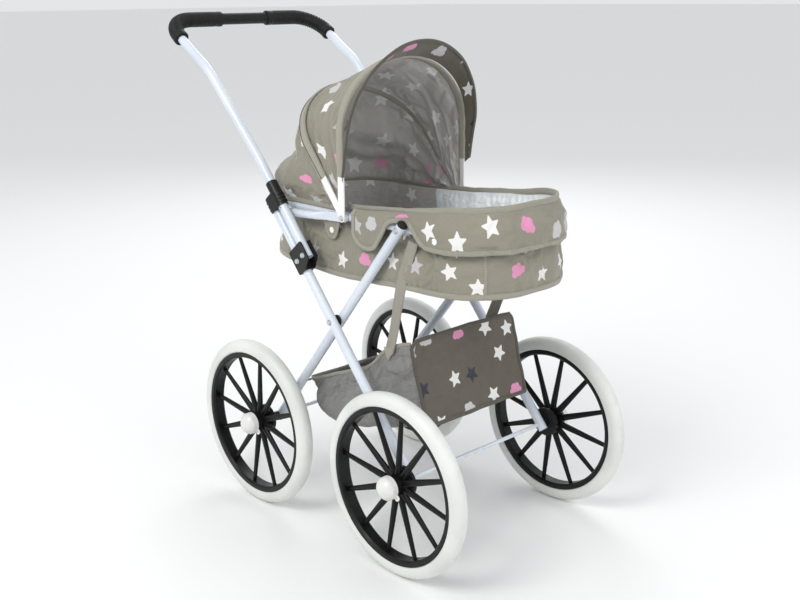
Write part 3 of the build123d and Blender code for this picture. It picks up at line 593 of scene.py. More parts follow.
TYRE = material(
    "white_foam_tyre",
    tyre_color,
    lambda t: t.remap(t.noise(place(t), 90.0, 3.0), 0.3, 0.7, 0.40, 0.56),
    lambda t: t.bump(t.noise(place(t), 1300.0, 2.0), 0.00018, 0.6),
    Subsurface_Weight=0.06,
    Subsurface_Scale=0.004,
)
FOAM = material(
    "black_foam",
    lambda t: t.mix(
        t.remap(t.noise(place(t), 1100.0, 2.0), 0.3, 0.7), (0.003, 0.003, 0.0035), (0.010, 0.010, 0.0105)
    ),
    lambda t: t.remap(t.noise(place(t), 300.0, 2.0), 0.3, 0.7, 0.42, 0.62),
    lambda t: t.bump(t.noise(place(t), 1500.0, 2.0), 0.0002, 0.7),
    Specular_IOR_Level=0.30,
)
BOARD = material(
    "stiffener",
    lambda t: t.mix(t.noise(place(t), 40.0, 3.0), (0.42, 0.40, 0.36), (0.55, 0.53, 0.49)),
    0.8,
    lambda t: t.bump(t.noise(place(t), 600.0, 3.0), 0.0003, 0.5),
)


# ------------------------------------------------------------------ cloth tools: areas, angles about the pivots and draping
def area_of(ob):
    """Area of a mesh piece, in square metres."""
    ob.data.update()
    return sum(p.area for p in ob.data.polygons)


def declare_sheet(ob, share=1.0):
    """Reads the UV map and the mesh's area, times share, of a cut of cloth; nothing is kept and the piece
    comes back as it was.
    """
    uv = np.zeros(len(ob.data.loops) * 2, np.float32)
    ob.data.uv_layers[0].data.foreach_get("uv", uv)
    area = area_of(ob) * share
    return ob


def angle_about_pivot(co):
    return np.degrees(np.arctan2(co[:, 2] - PIVOT[2], co[:, 0] - PIVOT[0]))


def hinge_blend(ob):
    """Cloth between two bows: bakes its transform and works out each point's angle about the bow pivots; the
    angles are not used, so nothing turns with the bows.
    """
    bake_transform(ob)
    co = np.array([v.co for v in ob.data.vertices]).reshape(-1, 3) / MM
    angle = angle_about_pivot(co)
    angle = np.where(angle < -90, angle + 360, angle)
    return ob


def grid_normals(points):
    """Unit normals of a grid of points, turned away from its middle."""
    normals = np.cross(np.gradient(points, axis=0), np.gradient(points, axis=1))
    normals /= np.maximum(np.linalg.norm(normals, axis=-1, keepdims=True), 1e-9)
    away = points - points.mean(axis=(0, 1))
    return normals * np.where((normals * away).sum(axis=-1, keepdims=True) < 0, -1.0, 1.0)


def drape(ob, points, pins, spare=0.05, cap=7.0, frames=18, bend=0.15, give=None, side=1):
    """Lets a sheet buckle between the edges that hold it, from a little spare cloth.

    points is its grid and pins the hold on each point, 0 to 1. No point goes further than cap
    millimetres from where it was. give is how far it may go towards what lies behind it, which is
    inside for side 1 and outside for side -1. Gives the settled grid; the mesh is changed to match.
    """
    scene = bpy.context.scene
    group = ob.vertex_groups.new(name="held")
    hold = np.broadcast_to(pins, points.shape[:2]).ravel()
    levels = np.round(hold * 20) / 20
    for level in np.unique(levels):
        if level > 0:
            group.add(np.flatnonzero(levels == level).tolist(), float(level), "REPLACE")
    modifier = ob.modifiers.new("drape", "CLOTH")
    settings = modifier.settings
    settings.quality = 4
    settings.mass = 0.1
    settings.tension_stiffness = 12
    settings.compression_stiffness = 12
    settings.shear_stiffness = 4
    settings.bending_stiffness = bend
    settings.vertex_group_mass = "held"
    settings.shrink_min = -spare
    settings.effector_weights.gravity = 0.0
    modifier.collision_settings.use_collision = False
    modifier.collision_settings.use_self_collision = False
    modifier.point_cache.frame_start = 1
    modifier.point_cache.frame_end = frames
    for k in range(1, frames + 1):
        scene.frame_set(k)
    settled = ob.evaluated_get(bpy.context.evaluated_depsgraph_get()).data
    co = np.zeros(len(settled.vertices) * 3, np.float32)
    settled.vertices.foreach_get("co", co)
    ob.modifiers.remove(modifier)
    ob.vertex_groups.remove(group)
    scene.frame_set(1)
    moved = co.reshape(points.shape).astype(float) / MM - points
    far = np.linalg.norm(moved, axis=-1, keepdims=True)
    moved *= cap * np.tanh(far / cap) / np.maximum(far, 1e-9)
    if give is not None:
        out = side * grid_normals(points)
        along = (moved * out).sum(axis=-1, keepdims=True)
        moved += out * (np.maximum(along, -give) - along)
    points = points + moved
    ob.data.vertices.foreach_set("co", (points * MM).astype(np.float32).ravel())
    ob.data.update()
    return points


def held_edges(n, m, rows=(0.0, 0.0), cols=(0.0, 0.0)):
    """Hold on an n by m grid: 1 at an edge, fading over that share of it; 0 leaves the edge free."""
    hold = np.zeros((n, m))
    for axis, sides in ((0, rows), (1, cols)):
        place_ = np.linspace(0, 1, (n, m)[axis])
        for width, run in zip(sides, (place_, 1 - place_)):
            if width > 0:
                one = 1 - smooth(run, 0, width)
                hold = np.maximum(hold, one[:, None] if axis == 0 else one[None, :])
    return hold


# where a carrycot piece rides and which material of the part it stands for
COT_TAPE = {"body": "carrycot", "slot": "webbing"}
COT_PRINT = {"body": "carrycot", "slot": "printed_cloth"}


# ------------------------------------------------------------------ carrycot outline
def outline(count):
    """The ring's centre line from the rear middle along the right side, round the toe and back.

    Gives count points in the plane and their outward normals.
    """
    c, h = RING_CORNER, RING_HALF
    x0, x1 = RING_REAR + c, RING_FRONT - c
    quarter = np.linspace(0, math.pi / 2, 60)
    corners = [
        (x0, -(h - c), math.pi),
        (x1, -(h - c), 1.5 * math.pi),
        (x1, h - c, 0.0),
        (x0, h - c, 0.5 * math.pi),
    ]
    path = [(RING_REAR, 0.0)]
    for cx, cy, begin in corners:
        path += [(cx + c * math.cos(begin + q), cy + c * math.sin(begin + q)) for q in quarter]
    path.append((RING_REAR, 0.0))
    path = evenly(np.array(path), count + 1)[:-1]
    tangent = unit(np.roll(path, -1, 0) - np.roll(path, 1, 0))
    return path, np.stack([tangent[:, 1], -tangent[:, 0]], 1)


COUNT = 560
BASE, NORMAL = outline(COUNT)
BX = BASE[:, 0]


def rim_z(x):
    """Height of the carrycot's sewn rim, rising to the toe."""
    return np.interp(x, (-154, 0, 60, 100, 175, 240, 302), (476, 477, 479.5, 481.5, 489, 498.5, 502))


def ring_points(base, normal, outset, z):
    """Points at an outset from the ring's centre line; outset and z may be arrays."""
    outset = np.broadcast_to(outset, base.shape[:-1])
    z = np.broadcast_to(z, base.shape[:-1])
    return np.concatenate([base + normal * outset[..., None], z[..., None]], -1)


def wall(index, z_low, z_high, rows, outset_of, bow=0.0):
    """A wall over part of the outline: rows from z_low to z_high, outset_of(share, z) outside the ring."""
    base, normal = BASE[index], NORMAL[index]
    share = np.linspace(0, 1, rows)[None, :]
    z = z_low[:, None] + (z_high - z_low)[:, None] * share
    outset = outset_of(share, z)
    base = np.broadcast_to(base[:, None], (len(index), rows, 2))
    normal = np.broadcast_to(normal[:, None], (len(index), rows, 2))
    return ring_points(base, normal, outset + bow * np.sin(math.pi * share), z), normal


def push(points, normal, amount):
    """Moves points outward in the plane by an amount."""
    out = points.copy()
    out[..., :2] += normal * amount[..., None]
    return out


# tub: one wall of printed cloth, wider at its foot, with soft folds and a rippled foot seam
foot_ripple = wander(np.stack([BX, BASE[:, 1], 0 * BX], 1), 34.0, 3.1)
foot_sag = 8.5 * bell(BX, 35, 105)
FOOT_Z = TUB_BOTTOM - foot_sag + 1.6 * foot_ripple
tub_index = np.arange(COUNT)
tub_points, tub_normal = wall(
    tub_index,
    FOOT_Z,
    np.full(COUNT, 462.5),
    44,
    lambda share, z: 4.0 - 13.2 * share**1.25 + 2.4 * foot_ripple[:, None] * (1 - share) ** 2,
    bow=4.5,
)
stretch = tub_points * np.array([1.0, 1.0, 0.45])
folds = 3.0 * wander(stretch, 42.0, 11.0) + 1.6 * wander(
    tub_points @ np.array([[1, 0, 0.5], [0, 1, 0], [-0.5, 0, 1]]), 20.0, 5.0
)
pull = 5.5 * bell(
    tub_points[..., 0] - 185 - (446 - tub_points[..., 2]) * 0.9, 0, 9
) * smooth(tub_points[..., 2], 395, 440)
pull -= 4.5 * bell(
    tub_points[..., 0] - 205 - (446 - tub_points[..., 2]) * 1.1, 0, 12
) * smooth(tub_points[..., 2], 400, 440)
share = np.linspace(0, 1, 44)[None, :]
tub_points = push(
    tub_points, tub_normal, (folds * np.sin(math.pi * np.clip(share * 1.05, 0, 1)) ** 0.6 + pull * 0.6)
)
TUB = cloth("tub_cloth", tub_points, PRINT, closed=True, **COT_PRINT)
tub_points = drape(TUB, tub_points, held_edges(COUNT, 44, cols=(0.06, 0.10)), spare=0.055, cap=5.0, give=0.3)

foot_path = ring_points(BASE, NORMAL, 4.4 + 2.4 * foot_ripple, FOOT_Z + 1.5)
foot_normals = np.concatenate([NORMAL, np.zeros((COUNT, 1))], 1)
sweep("tub_foot_binding", foot_path, foot_normals, 1.9, 4.2, BINDING, closed=True, square=0.7, **COT_TAPE)

# a sewn seam down the wall on each side of the toe
for side in (-1, 1):
    near = int(np.argmin(np.abs(BX - 284) + 40 * (np.sign(BASE[:, 1]) != side)))
    seam = tub_points[near]
    sweep(
        f"tub_seam_{'left' if side > 0 else 'right'}",
        evenly(seam, 40),
        np.append(NORMAL[near], 0.0),
        0.9,
        2.2,
        BINDING,
        **COT_TAPE,
    )

# floor of the tub, seen from below
floor_rows = 26
shrink = np.linspace(0, 1, floor_rows)[None, :, None] ** 0.9
middle = np.array([RING_MID, 0.0])
floor_xy = (BASE + NORMAL * 3.5)[:, None] * (1 - shrink) + middle * shrink
floor_z = FOOT_Z[:, None] * (1 - shrink[..., 0] ** 0.5) + 383.0 * shrink[..., 0] ** 0.5
floor = np.concatenate([floor_xy, floor_z[..., None]], -1)
floor[..., 2] += 1.4 * wander(floor, 45.0, 8.0) * np.sin(math.pi * np.clip(shrink[..., 0], 0, 1))
FLOOR = cloth("tub_floor", floor, PRINT_DARK, closed=True, offset=(0.3, 0.1), **COT_PRINT)
flat_uv = floor[..., :2] * MM
corners_uv = np.zeros((len(FLOOR.data.loops), 2), np.float32)
vertex_of = np.zeros(len(FLOOR.data.loops), np.int32)
FLOOR.data.loops.foreach_get("vertex_index", vertex_of)
corners_uv[:] = flat_uv.reshape(-1, 2)[vertex_of]
FLOOR.data.uv_layers[0].data.foreach_set("uv", corners_uv.ravel())

# lining: silvery inside the front, printed inside the rear under the hood
LINING_SPLIT = 30.0


def lining_points(index, seed):
    top = rim_z(BX[index]) - 1.5
    points, normal = wall(
        index,
        np.full(len(index), 396.0),
        top,
        40,
        lambda share, z: -10.5 * np.minimum(share * 1.3, 1.0) + 7.5 * smooth(z, 468, 500) * smooth(
            BX[index][:, None], -10, 90
        ),
    )
    lateral = points * np.array([1.0, 1.0, 0.3])
    amount = -1.5 - 3.2 * np.abs(wander(lateral, 26.0, seed)) + 1.5 * wander(points, 14.0, seed + 2)
    share = np.linspace(0, 1, 40)[None, :]
    return push(points, normal, amount * np.sin(math.pi * share) ** 0.5 * (1 - 0.5 * share))


front_index = np.array([k for k in range(COUNT) if BX[k] > LINING_SPLIT - 4])
rear_index = np.concatenate([np.arange(front_index[-1], COUNT), np.arange(0, front_index[0] + 1)])
lining = lining_points(front_index, 2.0)
LINING_FRONT = cloth("lining_front", lining, LINING, body="carrycot")
drape(
    LINING_FRONT,
    lining,
    held_edges(len(front_index), 40, rows=(0.02, 0.02), cols=(0.05, 0.06)),
    spare=0.07,
    cap=5.0,
    give=0.0,
    side=-1,
)
LINING_REAR = cloth(
    "lining_rear", lining_points(rear_index, 4.0), PRINT_INSIDE, offset=(0.2, 0.0), **COT_PRINT
)
pad_xy = (BASE + NORMAL * -2.0)[:, None] * (1 - shrink) + middle * shrink
pad_z = np.broadcast_to(396.5 + 5.0 * (1 - (1 - shrink[..., 0]) ** 3), pad_xy.shape[:2])
pad = np.concatenate([pad_xy, pad_z[..., None]], -1)
pad[..., 2] += 1.6 * wander(pad, 30.0, 21.0)
LINING_FLOOR = cloth("lining_floor", pad, LINING, closed=True, body="carrycot")
LINING_FLOOR.data.uv_layers[0].data.foreach_set("uv", corners_uv.ravel())

# skirt: hangs from the rim over the ring, in flaps round the pivots
HEM = (
    (62, 462),
    (72, 452),
    (78, 441),
    (89, 433.5),
    (100, 430.5),
    (110, 430.8),
    (120, 436),
    (129, 449),
    (139, 465),
    (149, 474),
    (163, 477.5),
    (177, 478.5),
    (187, 475),
    (195, 466),
    (203, 457),
    (212, 451),
    (222, 448.5),
    (255, 447.5),
    (302, 449),
)
HEM_CURVE = spline([(x, z, 0) for x, z in HEM], 600)


def hem_z(x):
    return np.interp(x, HEM_CURVE[:, 0], HEM_CURVE[:, 1])


def skirt_outset(z, top):
    """How far the skirt stands outside the ring's centre line: over the ring, then in to the rim."""
    return 8.2 + 0.8 * smooth(-z, -452, -432) - 9.2 * smooth(z, 473, 500) - 3.0 * smooth(z - top, -6, 0)


SKIRT_START = 73.0
skirt_index = np.array([k for k in range(COUNT) if BX[k] > SKIRT_START])
skirt_x = BX[skirt_index]
skirt_top = rim_z(skirt_x)
hem_line = hem_z(skirt_x)
skirt_points, skirt_normal = wall(
    skirt_index, hem_line, skirt_top, 34, lambda share, z: skirt_outset(z, skirt_top[:, None])
)
gather = 1.9 * wander(
    skirt_points * np.array([1, 1, 0.35]), 30.0, 14.0
) + 0.9 * wander(skirt_points, 15.0, 6.0)
free = (1 - np.linspace(0, 1, 34)[None, :]) ** 0.7
snap_pull = sum(
    bell(
        np.hypot(skirt_points[..., 0] - sx, skirt_points[..., 2] - sz), 0, 14
    ) for sx, sz in ((108, 442), (230, 457))
)
loose = 0.9 + 2.2 * smooth(skirt_points[..., 0], 235, 300)
skirt_amount = (gather * loose + 1.2) * free * (1 - np.clip(snap_pull, 0, 1))
skirt_amount += 1.0 * gather * np.sin(
    math.pi * np.linspace(0, 1, 34)[None, :]
) * smooth(skirt_points[..., 2], 474, 484)
over_ring = smooth(-np.abs(skirt_points[..., 2] - RING_Z), -14.0, -9.0)
skirt_amount = np.maximum(skirt_amount, -0.2 - 6.0 * (1 - over_ring))
skirt_points = push(skirt_points, skirt_normal, skirt_amount)
SKIRT = cloth("skirt_cloth", skirt_points, PRINT, offset=(0.026, 0.207), **COT_PRINT)
skirt_hold = np.maximum(held_edges(len(skirt_index), 34, cols=(0.0, 0.22)), 0.9 * np.clip(snap_pull, 0, 1))
skirt_hold = np.maximum(skirt_hold, 0.55)
skirt_points = drape(SKIRT, skirt_points, skirt_hold, spare=0.05, cap=3.0, give=0.0)
edge = np.vstack([skirt_points[0, ::-1], skirt_points[1:-1, 0], skirt_points[-1]])
edge = evenly(edge, 620)
edge_normals = np.array([np.append(NORMAL[int(np.argmin(((BASE - p[:2]) ** 2).sum(1)))], 0.0) for p in edge])
sweep("skirt_hem_binding", edge, edge_normals, 1.5, 3.6, BINDING, square=0.7, **COT_TAPE)

rim_index = np.array([k for k in range(COUNT) if BX[k] > 50.0])
rim_path = ring_points(BASE[rim_index], NORMAL[rim_index], -4.0, rim_z(BX[rim_index]) + 0.3)
rim_path[:, :2] += NORMAL[rim_index] * (0.8 * wander(rim_path, 28.0, 9.0))[:, None]
rim_path[:, 2] += 0.9 * wander(rim_path, 34.0, 2.0)
rim_normals = np.concatenate([NORMAL[rim_index], np.zeros((len(rim_index), 1))], 1)
rim_binding = sweep("rim_binding", rim_path, rim_normals, 2.2, 4.6, BINDING, square=0.7, **COT_TAPE)

# small snap flaps behind the pivots, wrapped over the ring
for side, word in ((-1, "right"), (1, "left")):
    across = np.linspace(-1, 1, 19)
    down = np.linspace(0, 1, 22)
    flap = np.zeros((19, 22, 3))
    for i, a in enumerate(across):
        low = 432.5 + 24.0 * abs(a) ** 2.8
        for j, d in enumerate(down):
            turn = min(d / 0.35, 1.0) * math.radians(95)
            if d < 0.35:
                y, z = RING_HALF - 1 + 7.0 * math.sin(turn), RING_Z - 3.0 + 3.0 * math.cos(turn)
            else:
                y = RING_HALF + 6.0 + 0.5 * math.sin(math.pi * (d - 0.35) / 0.65)
                z = RING_Z - 3.3 + (low - RING_Z + 3.3) * (d - 0.35) / 0.65
            flap[i, j] = (24.0 + 15.5 * a, side * y, z)
    cloth(f"rear_flap_{word}", flap, PRINT, offset=(0.41, 0.33), **COT_PRINT)
    rim = np.vstack([flap[0, 8:], flap[1:-1, -1], flap[-1, :7:-1]])
    sweep(f"rear_flap_binding_{word}", evenly(rim, 70), (0, side, 0), 1.2, 2.2, BINDING, **COT_TAPE)

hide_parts("tub")
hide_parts("skirt_front")
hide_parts("skirt_rear")


# ------------------------------------------------------------------ hood
def arch(count, foot, half, top):
    """Points (radius, y) and outward normals along a bow: straight sides, then half an ellipse."""
    rise = top - STRAIGHT
    around = np.linspace(-math.pi / 2, math.pi / 2, 240)
    path = [(foot, -half)] + [
        (STRAIGHT + rise * math.cos(q), half * math.sin(q)) for q in around
    ] + [(foot, half)]
    path = evenly(np.array(path), count)
    tangent = unit(np.gradient(path, axis=0))
    return path, np.stack([tangent[:, 1], -tangent[:, 0]], 1)


def polar(angle, radius, y):
    """A point of the hood from its angle about the pivots, in degrees, its radius and y."""
    a = np.radians(angle)
    return np.stack([PIVOT[0] + radius * np.cos(a), y + 0 * a, PIVOT[2] + radius * np.sin(a)], -1)


def bow_sleeve(name, angle, half, top, foot, wide, material_, body):
    """A cloth tunnel round a flat bow."""
    path, normal = arch(220, foot, half, top)
    points = polar(np.full(len(path), angle), path[:, 0], path[:, 1])
    a = math.radians(angle)
    normals = np.stack([normal[:, 0] * math.cos(a), normal[:, 1], normal[:, 0] * math.sin(a)], -1)
    puff = 1.0 + 0.12 * wander(points, 18.0, 5.0)
    return sweep(
        name, points, normals, 2.3 * puff, wide * puff, material_, square=0.6, body=body, slot="webbing"
    )


HOOD_ROWS, HOOD_COLS = 46, 200


def hood_panel(name, angles, lower, upper, bulge_of, material_, seed, **more):
    """Cloth between two edges of the hood; each edge is a pair (radius, y) per column."""
    u = np.linspace(0, 1, HOOD_ROWS)[:, None]
    radius = lower[:, 0] * (1 - u) + upper[:, 0] * u
    y = lower[:, 1] * (1 - u) + upper[:, 1] * u
    angle = angles[0] * (1 - u) + angles[1] * u
    v = np.linspace(0, 1, HOOD_COLS)[None, :]
    points = polar(angle, radius, y)
    out = unit(np.stack([points[..., 0] - PIVOT[0], 0.8 * y, points[..., 2] - PIVOT[2]], -1))
    amount = bulge_of(u, v, points)
    points = points + out * amount[..., None]
    return cloth(name, np.swapaxes(points, 0, 1), material_, **more), points, out


mid_edge, _ = arch(HOOD_COLS, 17.0, 114.6, 212.5)
front_edge, _ = arch(HOOD_COLS, 17.0, 116.6, 213.0)
# rear hem: along the top of the ring round the rear, from one side to the other
rear_side = np.array([k for k in range(COUNT) if BX[k] < PIVOT[0] - 13])
order = np.concatenate([rear_side[rear_side < COUNT // 2][::-1], rear_side[rear_side > COUNT // 2][::-1]])
hem_xy = evenly(BASE[order] + NORMAL[order] * 2.0, HOOD_COLS)
hem_height = 475.5 - PIVOT[2]
hem_radius = np.hypot(hem_xy[:, 0] - PIVOT[0], hem_height)
hem_angle = np.degrees(np.arctan2(hem_height, hem_xy[:, 0] - PIVOT[0]))
hem_edge = np.stack([hem_radius, hem_xy[:, 1]], 1)


def sag_between_bows(u, v, points):
    crown = np.sin(math.pi * v) ** 0.5
    sag = -9.5 * np.sin(math.pi * u) * crown
    stretch_lines = np.stack([points[..., 0] * 0.35, points[..., 1], points[..., 2] * 0.35], -1)
    waves = 2.6 * wander(stretch_lines, 30.0, 31.0)
    crease = -4.0 * bell(
        u - (0.15 + 0.75 * np.abs(2 * v - 1) ** 0.8), 0, 0.05
    ) * smooth(np.abs(2 * v - 1), 0.1, 0.5)
    side = np.abs(2 * v - 1)
    pleats = sum(depth * bell(u, at + 0.10 * (1 - side), 0.045) for at, depth in ((0.30, -4.5), (0.62, -3.5)))
    pleats = pleats * smooth(side, 0.25, 0.6)
    return sag + (waves + crease + pleats) * np.sin(math.pi * u) ** 0.7


def slack_rear(u, v, points):
    """Drawn in below the middle bow, then a soft pouch with folds above the hem (u is 0 at the hem)."""
    low = 1 - u
    crown = np.sin(math.pi * np.clip(v, 0, 1)) ** 0.35
    shape = -15.0 * bell(low, 0.40, 0.20) + 7.0 * bell(low, 0.80, 0.11)
    fold = 3.6 * np.sin(
        low * 17.0 + 2.2 * wander(points * np.array([1, 1, 0.4]), 60.0, 17.0)
    ) * smooth(low, 0.45, 0.7)
    waves = 2.4 * wander(points * np.array([1, 1, 0.5]), 34.0, 41.0)
    return (shape * crown + fold * crown + waves) * np.sin(math.pi * u) ** 0.6


FRONT_PANEL, front_points, front_out = hood_panel(
    "hood_front_cloth", (
        FRONT_ANGLE + 1.5, MID_ANGLE - 1.5
    ), front_edge, mid_edge, sag_between_bows, PRINT, 3, offset=(0.11, 0.02), slot="printed_cloth"
)
REAR_PANEL, rear_points, rear_out = hood_panel(
    "hood_rear_cloth", (
        hem_angle, MID_ANGLE + 1.5
    ), hem_edge, mid_edge, slack_rear, PRINT, 5, offset=(0.02, 0.31), slot="printed_cloth"
)
hood_hold = np.swapaxes(held_edges(HOOD_ROWS, HOOD_COLS, rows=(0.06, 0.06), cols=(0.03, 0.03)), 0, 1)
front_points = np.swapaxes(
    drape(FRONT_PANEL, np.swapaxes(front_points, 0, 1), hood_hold, spare=0.03, cap=5.0), 0, 1
)
rear_points = np.swapaxes(
    drape(REAR_PANEL, np.swapaxes(rear_points, 0, 1), hood_hold, spare=0.06, cap=8.0), 0, 1
)
FRONT_INSIDE = cloth(
    "hood_front_inside",
    np.swapaxes(front_points - 1.2 * front_out, 0, 1),
    PRINT_INSIDE,
    offset=(0.05, 0.03),
    slot="printed_cloth",
)
REAR_INSIDE = cloth(
    "hood_rear_inside",
    np.swapaxes(rear_points - 1.2 * rear_out, 0, 1),
    PRINT_INSIDE,
    offset=(0.12, 0.36),
    slot="printed_cloth",
)

bow_sleeve("middle_bow_sleeve", MID_ANGLE, 117.2, 214.0, 66.0, 7.6, BINDING, "middle_bow")
bow_sleeve("front_bow_sleeve", FRONT_ANGLE, 119.6, 214.0, 58.0, 7.4, BINDING, "front_bow")
piping_path, _ = arch(220, 66.0, 118.6, 216.4)
piping_points = polar(np.full(220, MID_ANGLE + 2.0), piping_path[:, 0], piping_path[:, 1])
sweep(
    "middle_bow_piping",
    piping_points,
    (0.3, 0.2, 1.0),
    1.3,
    1.3,
    BINDING_DARK,
    body="middle_bow",
    slot="printed_cloth",
)

hem_points = rear_points[0]
hem_out = unit(rear_out[0] * np.array([1, 1, 0]))
sweep(
    "hood_hem_binding",
    evenly(hem_points, 240),
    hem_out[np.linspace(0, HOOD_COLS - 1, 240).astype(int)],
    1.5,
    3.8,
    BINDING,
    square=0.7,
    **COT_TAPE,
)

# visor: flares forward and up from the front bow, bound along both edges
visor_in, _ = arch(HOOD_COLS, 50.0, 120.2, 215.4)
visor_out, _ = arch(HOOD_COLS, 60.0, 125.4, 241.0)
VISOR_ROWS = 16
vu = np.linspace(0, 1, VISOR_ROWS)[:, None]
vv = np.linspace(0, 1, HOOD_COLS)[None, :]
visor_radius = visor_in[:, 0] * (1 - vu) + visor_out[:, 0] * vu
visor_y = visor_in[:, 1] * (1 - vu) + visor_out[:, 1] * vu
visor_angle = (FRONT_ANGLE - 3.0) * (1 - vu) + VISOR_ANGLE * vu - 1.2 * np.sin(math.pi * vu)
visor_points = polar(visor_angle + 0 * vv, visor_radius, visor_y)
visor_points[..., 0] += 1.3 * wander(visor_points, 38.0, 51.0) * vu
VISOR = cloth(
    "visor_cloth",
    np.swapaxes(visor_points, 0, 1),
    PRINT_DARK,
    offset=(0.07, 0.15),
    body="front_bow",
    slot="printed_cloth",
)
visor_edge = evenly(visor_points[-1], 240)
sweep(
    "visor_edge_binding",
    visor_edge,
    (1.0, 0.0, 0.15),
    1.3,
    2.4,
    BINDING_DARK,
    body="front_bow",
    slot="printed_cloth",
)

hinge_blend(FRONT_PANEL)
hinge_blend(FRONT_INSIDE)
hinge_blend(REAR_PANEL)
hinge_blend(REAR_INSIDE)
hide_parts("hood_front")
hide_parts("hood_rear")
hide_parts("hood_visor")

# ------------------------------------------------------------------ tray
TRAY_HALF = 102.0
LOW = spline(
    [
        (-43, 0, 198),
        (-40, 0, 176),
        (-27, 0, 154),
        (0, 0, 146.5),
        (32, 0, 148),
        (90, 0, 164),
        (149, 0, 179),
        (205, 0, 193),
    ],
    90,
)
HIGH = spline(
    [
        (-45, 0, 200),
        (-30, 0, 205),
        (20, 0, 227),
        (60, 0, 243),
        (92, 0, 258),
        (116, 0, 281),
        (140, 0, 295),
        (174, 0, 306),
    ],
    90,
)
PROFILE = 64
tray_net = np.zeros((90, PROFILE, 3))
for k in range(90):
    low, high = LOW[k], HIGH[k]
    tall = np.linalg.norm(high - low)
    r = min(10.0, 0.4 * tall)
    side_path = [(0.0, 1.0), (0.0, r / max(tall, 1e-6))]
    turn = np.linspace(0, math.pi / 2, 7)[1:]
    corner = [(-TRAY_HALF + r - r * math.cos(q), (r - r * math.sin(q)) / max(tall, 1e-6)) for q in turn]
    right = [(-TRAY_HALF, 1.0)] + [(-TRAY_HALF, 0.5 + r / (2 * max(tall, 1e-6)))] + corner
    path = np.array(right + [(-y, h) for y, h in right[::-1]])
    scaled = np.stack([path[:, 0], path[:, 1] * tall], 1)
    even = evenly(scaled, PROFILE)
    h = (even[:, 1] / max(tall, 1e-6))[:, None]
    tray_net[k] = low * (1 - h) + high * h
    tray_net[k, :, 1] = even[:, 0]
share_side = np.clip(1 - np.abs(np.abs(np.linspace(-1, 1, PROFILE)) - 0.78) / 0.22, 0, 1)[None, :]
along_tray = np.linspace(0, 1, 90)[:, None]
wrinkle = 3.4 * wander(tray_net * np.array([0.5, 1, 1.0]), 24.0, 61.0) + 2.0 * wander(tray_net, 12.0, 67.0)
inward = -np.sign(tray_net[..., 1]) * share_side * (4.0 + wrinkle) * (1 - 0.6 * along_tray)
tray_net[..., 1] += inward
tray_net[..., 2] += -3.0 * (1 - share_side) * np.sin(
    math.pi * along_tray
) + 1.2 * wander(tray_net, 26.0, 71.0) * (1 - share_side)
TRAY = cloth("tray_net", tray_net, NET, body="rear_frame", slot="mesh_cloth")
tray_net = drape(
    TRAY, tray_net, held_edges(90, PROFILE, rows=(0.03, 0.05), cols=(0.03, 0.03)), spare=0.07, cap=7.0
)
for col, word in ((0, "right"), (PROFILE - 1, "left")):
    line = evenly(tray_net[:, col], 150)
    sweep(f"tray_top_binding_{word}", line, (0, 1, 0), 1.3, 2.6, BINDING, body="rear_frame", slot="webbing")

# printed front panel, bound all round, its top corners rounded
PANEL_COLS, PANEL_ROWS = 80, 44
panel = np.zeros((PANEL_COLS, PANEL_ROWS, 3))
for i, a in enumerate(np.linspace(-1, 1, PANEL_COLS)):
    drop = 9.0 * max(0.0, (abs(a) - 0.90) / 0.10) ** 2
    for j, h in enumerate(np.linspace(0, 1, PANEL_ROWS)):
        x, z = 207.0 - 31.0 * h, 192.0 + (116.0 - drop) * h
        panel[i, j] = (x, a * (TRAY_HALF + 0.8), z)
panel[..., 0] += 3.0 * wander(panel, 70.0, 81.0) + 1.0 * wander(panel, 22.0, 83.0) - 3.0 * np.cos(
    np.linspace(-1, 1, PANEL_COLS) * math.pi / 2
)[:, None]
PANEL = cloth(
    "tray_front_panel", panel, PRINT_DARK, offset=(0.037, 0.118), body="rear_frame", slot="printed_cloth"
)
loop_ = np.vstack([panel[:, -1], panel[-1, ::-1], panel[::-1, 0], panel[0]])
loop_ = evenly(loop_, 360)[:-1]
sweep(
    "tray_panel_binding",
    loop_,
    (1.0, 0.0, 0.27),
    1.6,
    3.0,
    BINDING_DARK,
    closed=True,
    square=0.7,
    body="rear_frame",
    slot="webbing",
)
bottom_strip = evenly(panel[:, 1], 120) + np.array([-3.0, 0, -4.5])
sweep(
    "tray_bottom_binding",
    bottom_strip,
    (1, 0, -1),
    1.4,
    4.0,
    BINDING,
    square=0.7,
    body="rear_frame",
    slot="webbing",
)

# sleeve over the wire rod at the tray's rear
rod = NODES["tray_rod"]
rod_lo, rod_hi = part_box("tray_rod")
rod_at = np.array([(rod_lo.x + rod_hi.x) / 2, 0, (rod_lo.z + rod_hi.z) / 2]) / MM
sleeve_path = np.array([rod_at + np.array([0, y, 0]) for y in np.linspace(-TRAY_HALF + 4, TRAY_HALF - 4, 90)])
puff = 1 + 0.14 * wander(sleeve_path * np.array([1, 1, 1]), 12.0, 90.0)
sweep(
    "tray_rod_sleeve",
    sleeve_path,
    (0, 0, 1),
    4.6 * puff,
    5.2 * puff,
    NET,
    body="rear_frame",
    slot="mesh_cloth",
)
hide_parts("tray")

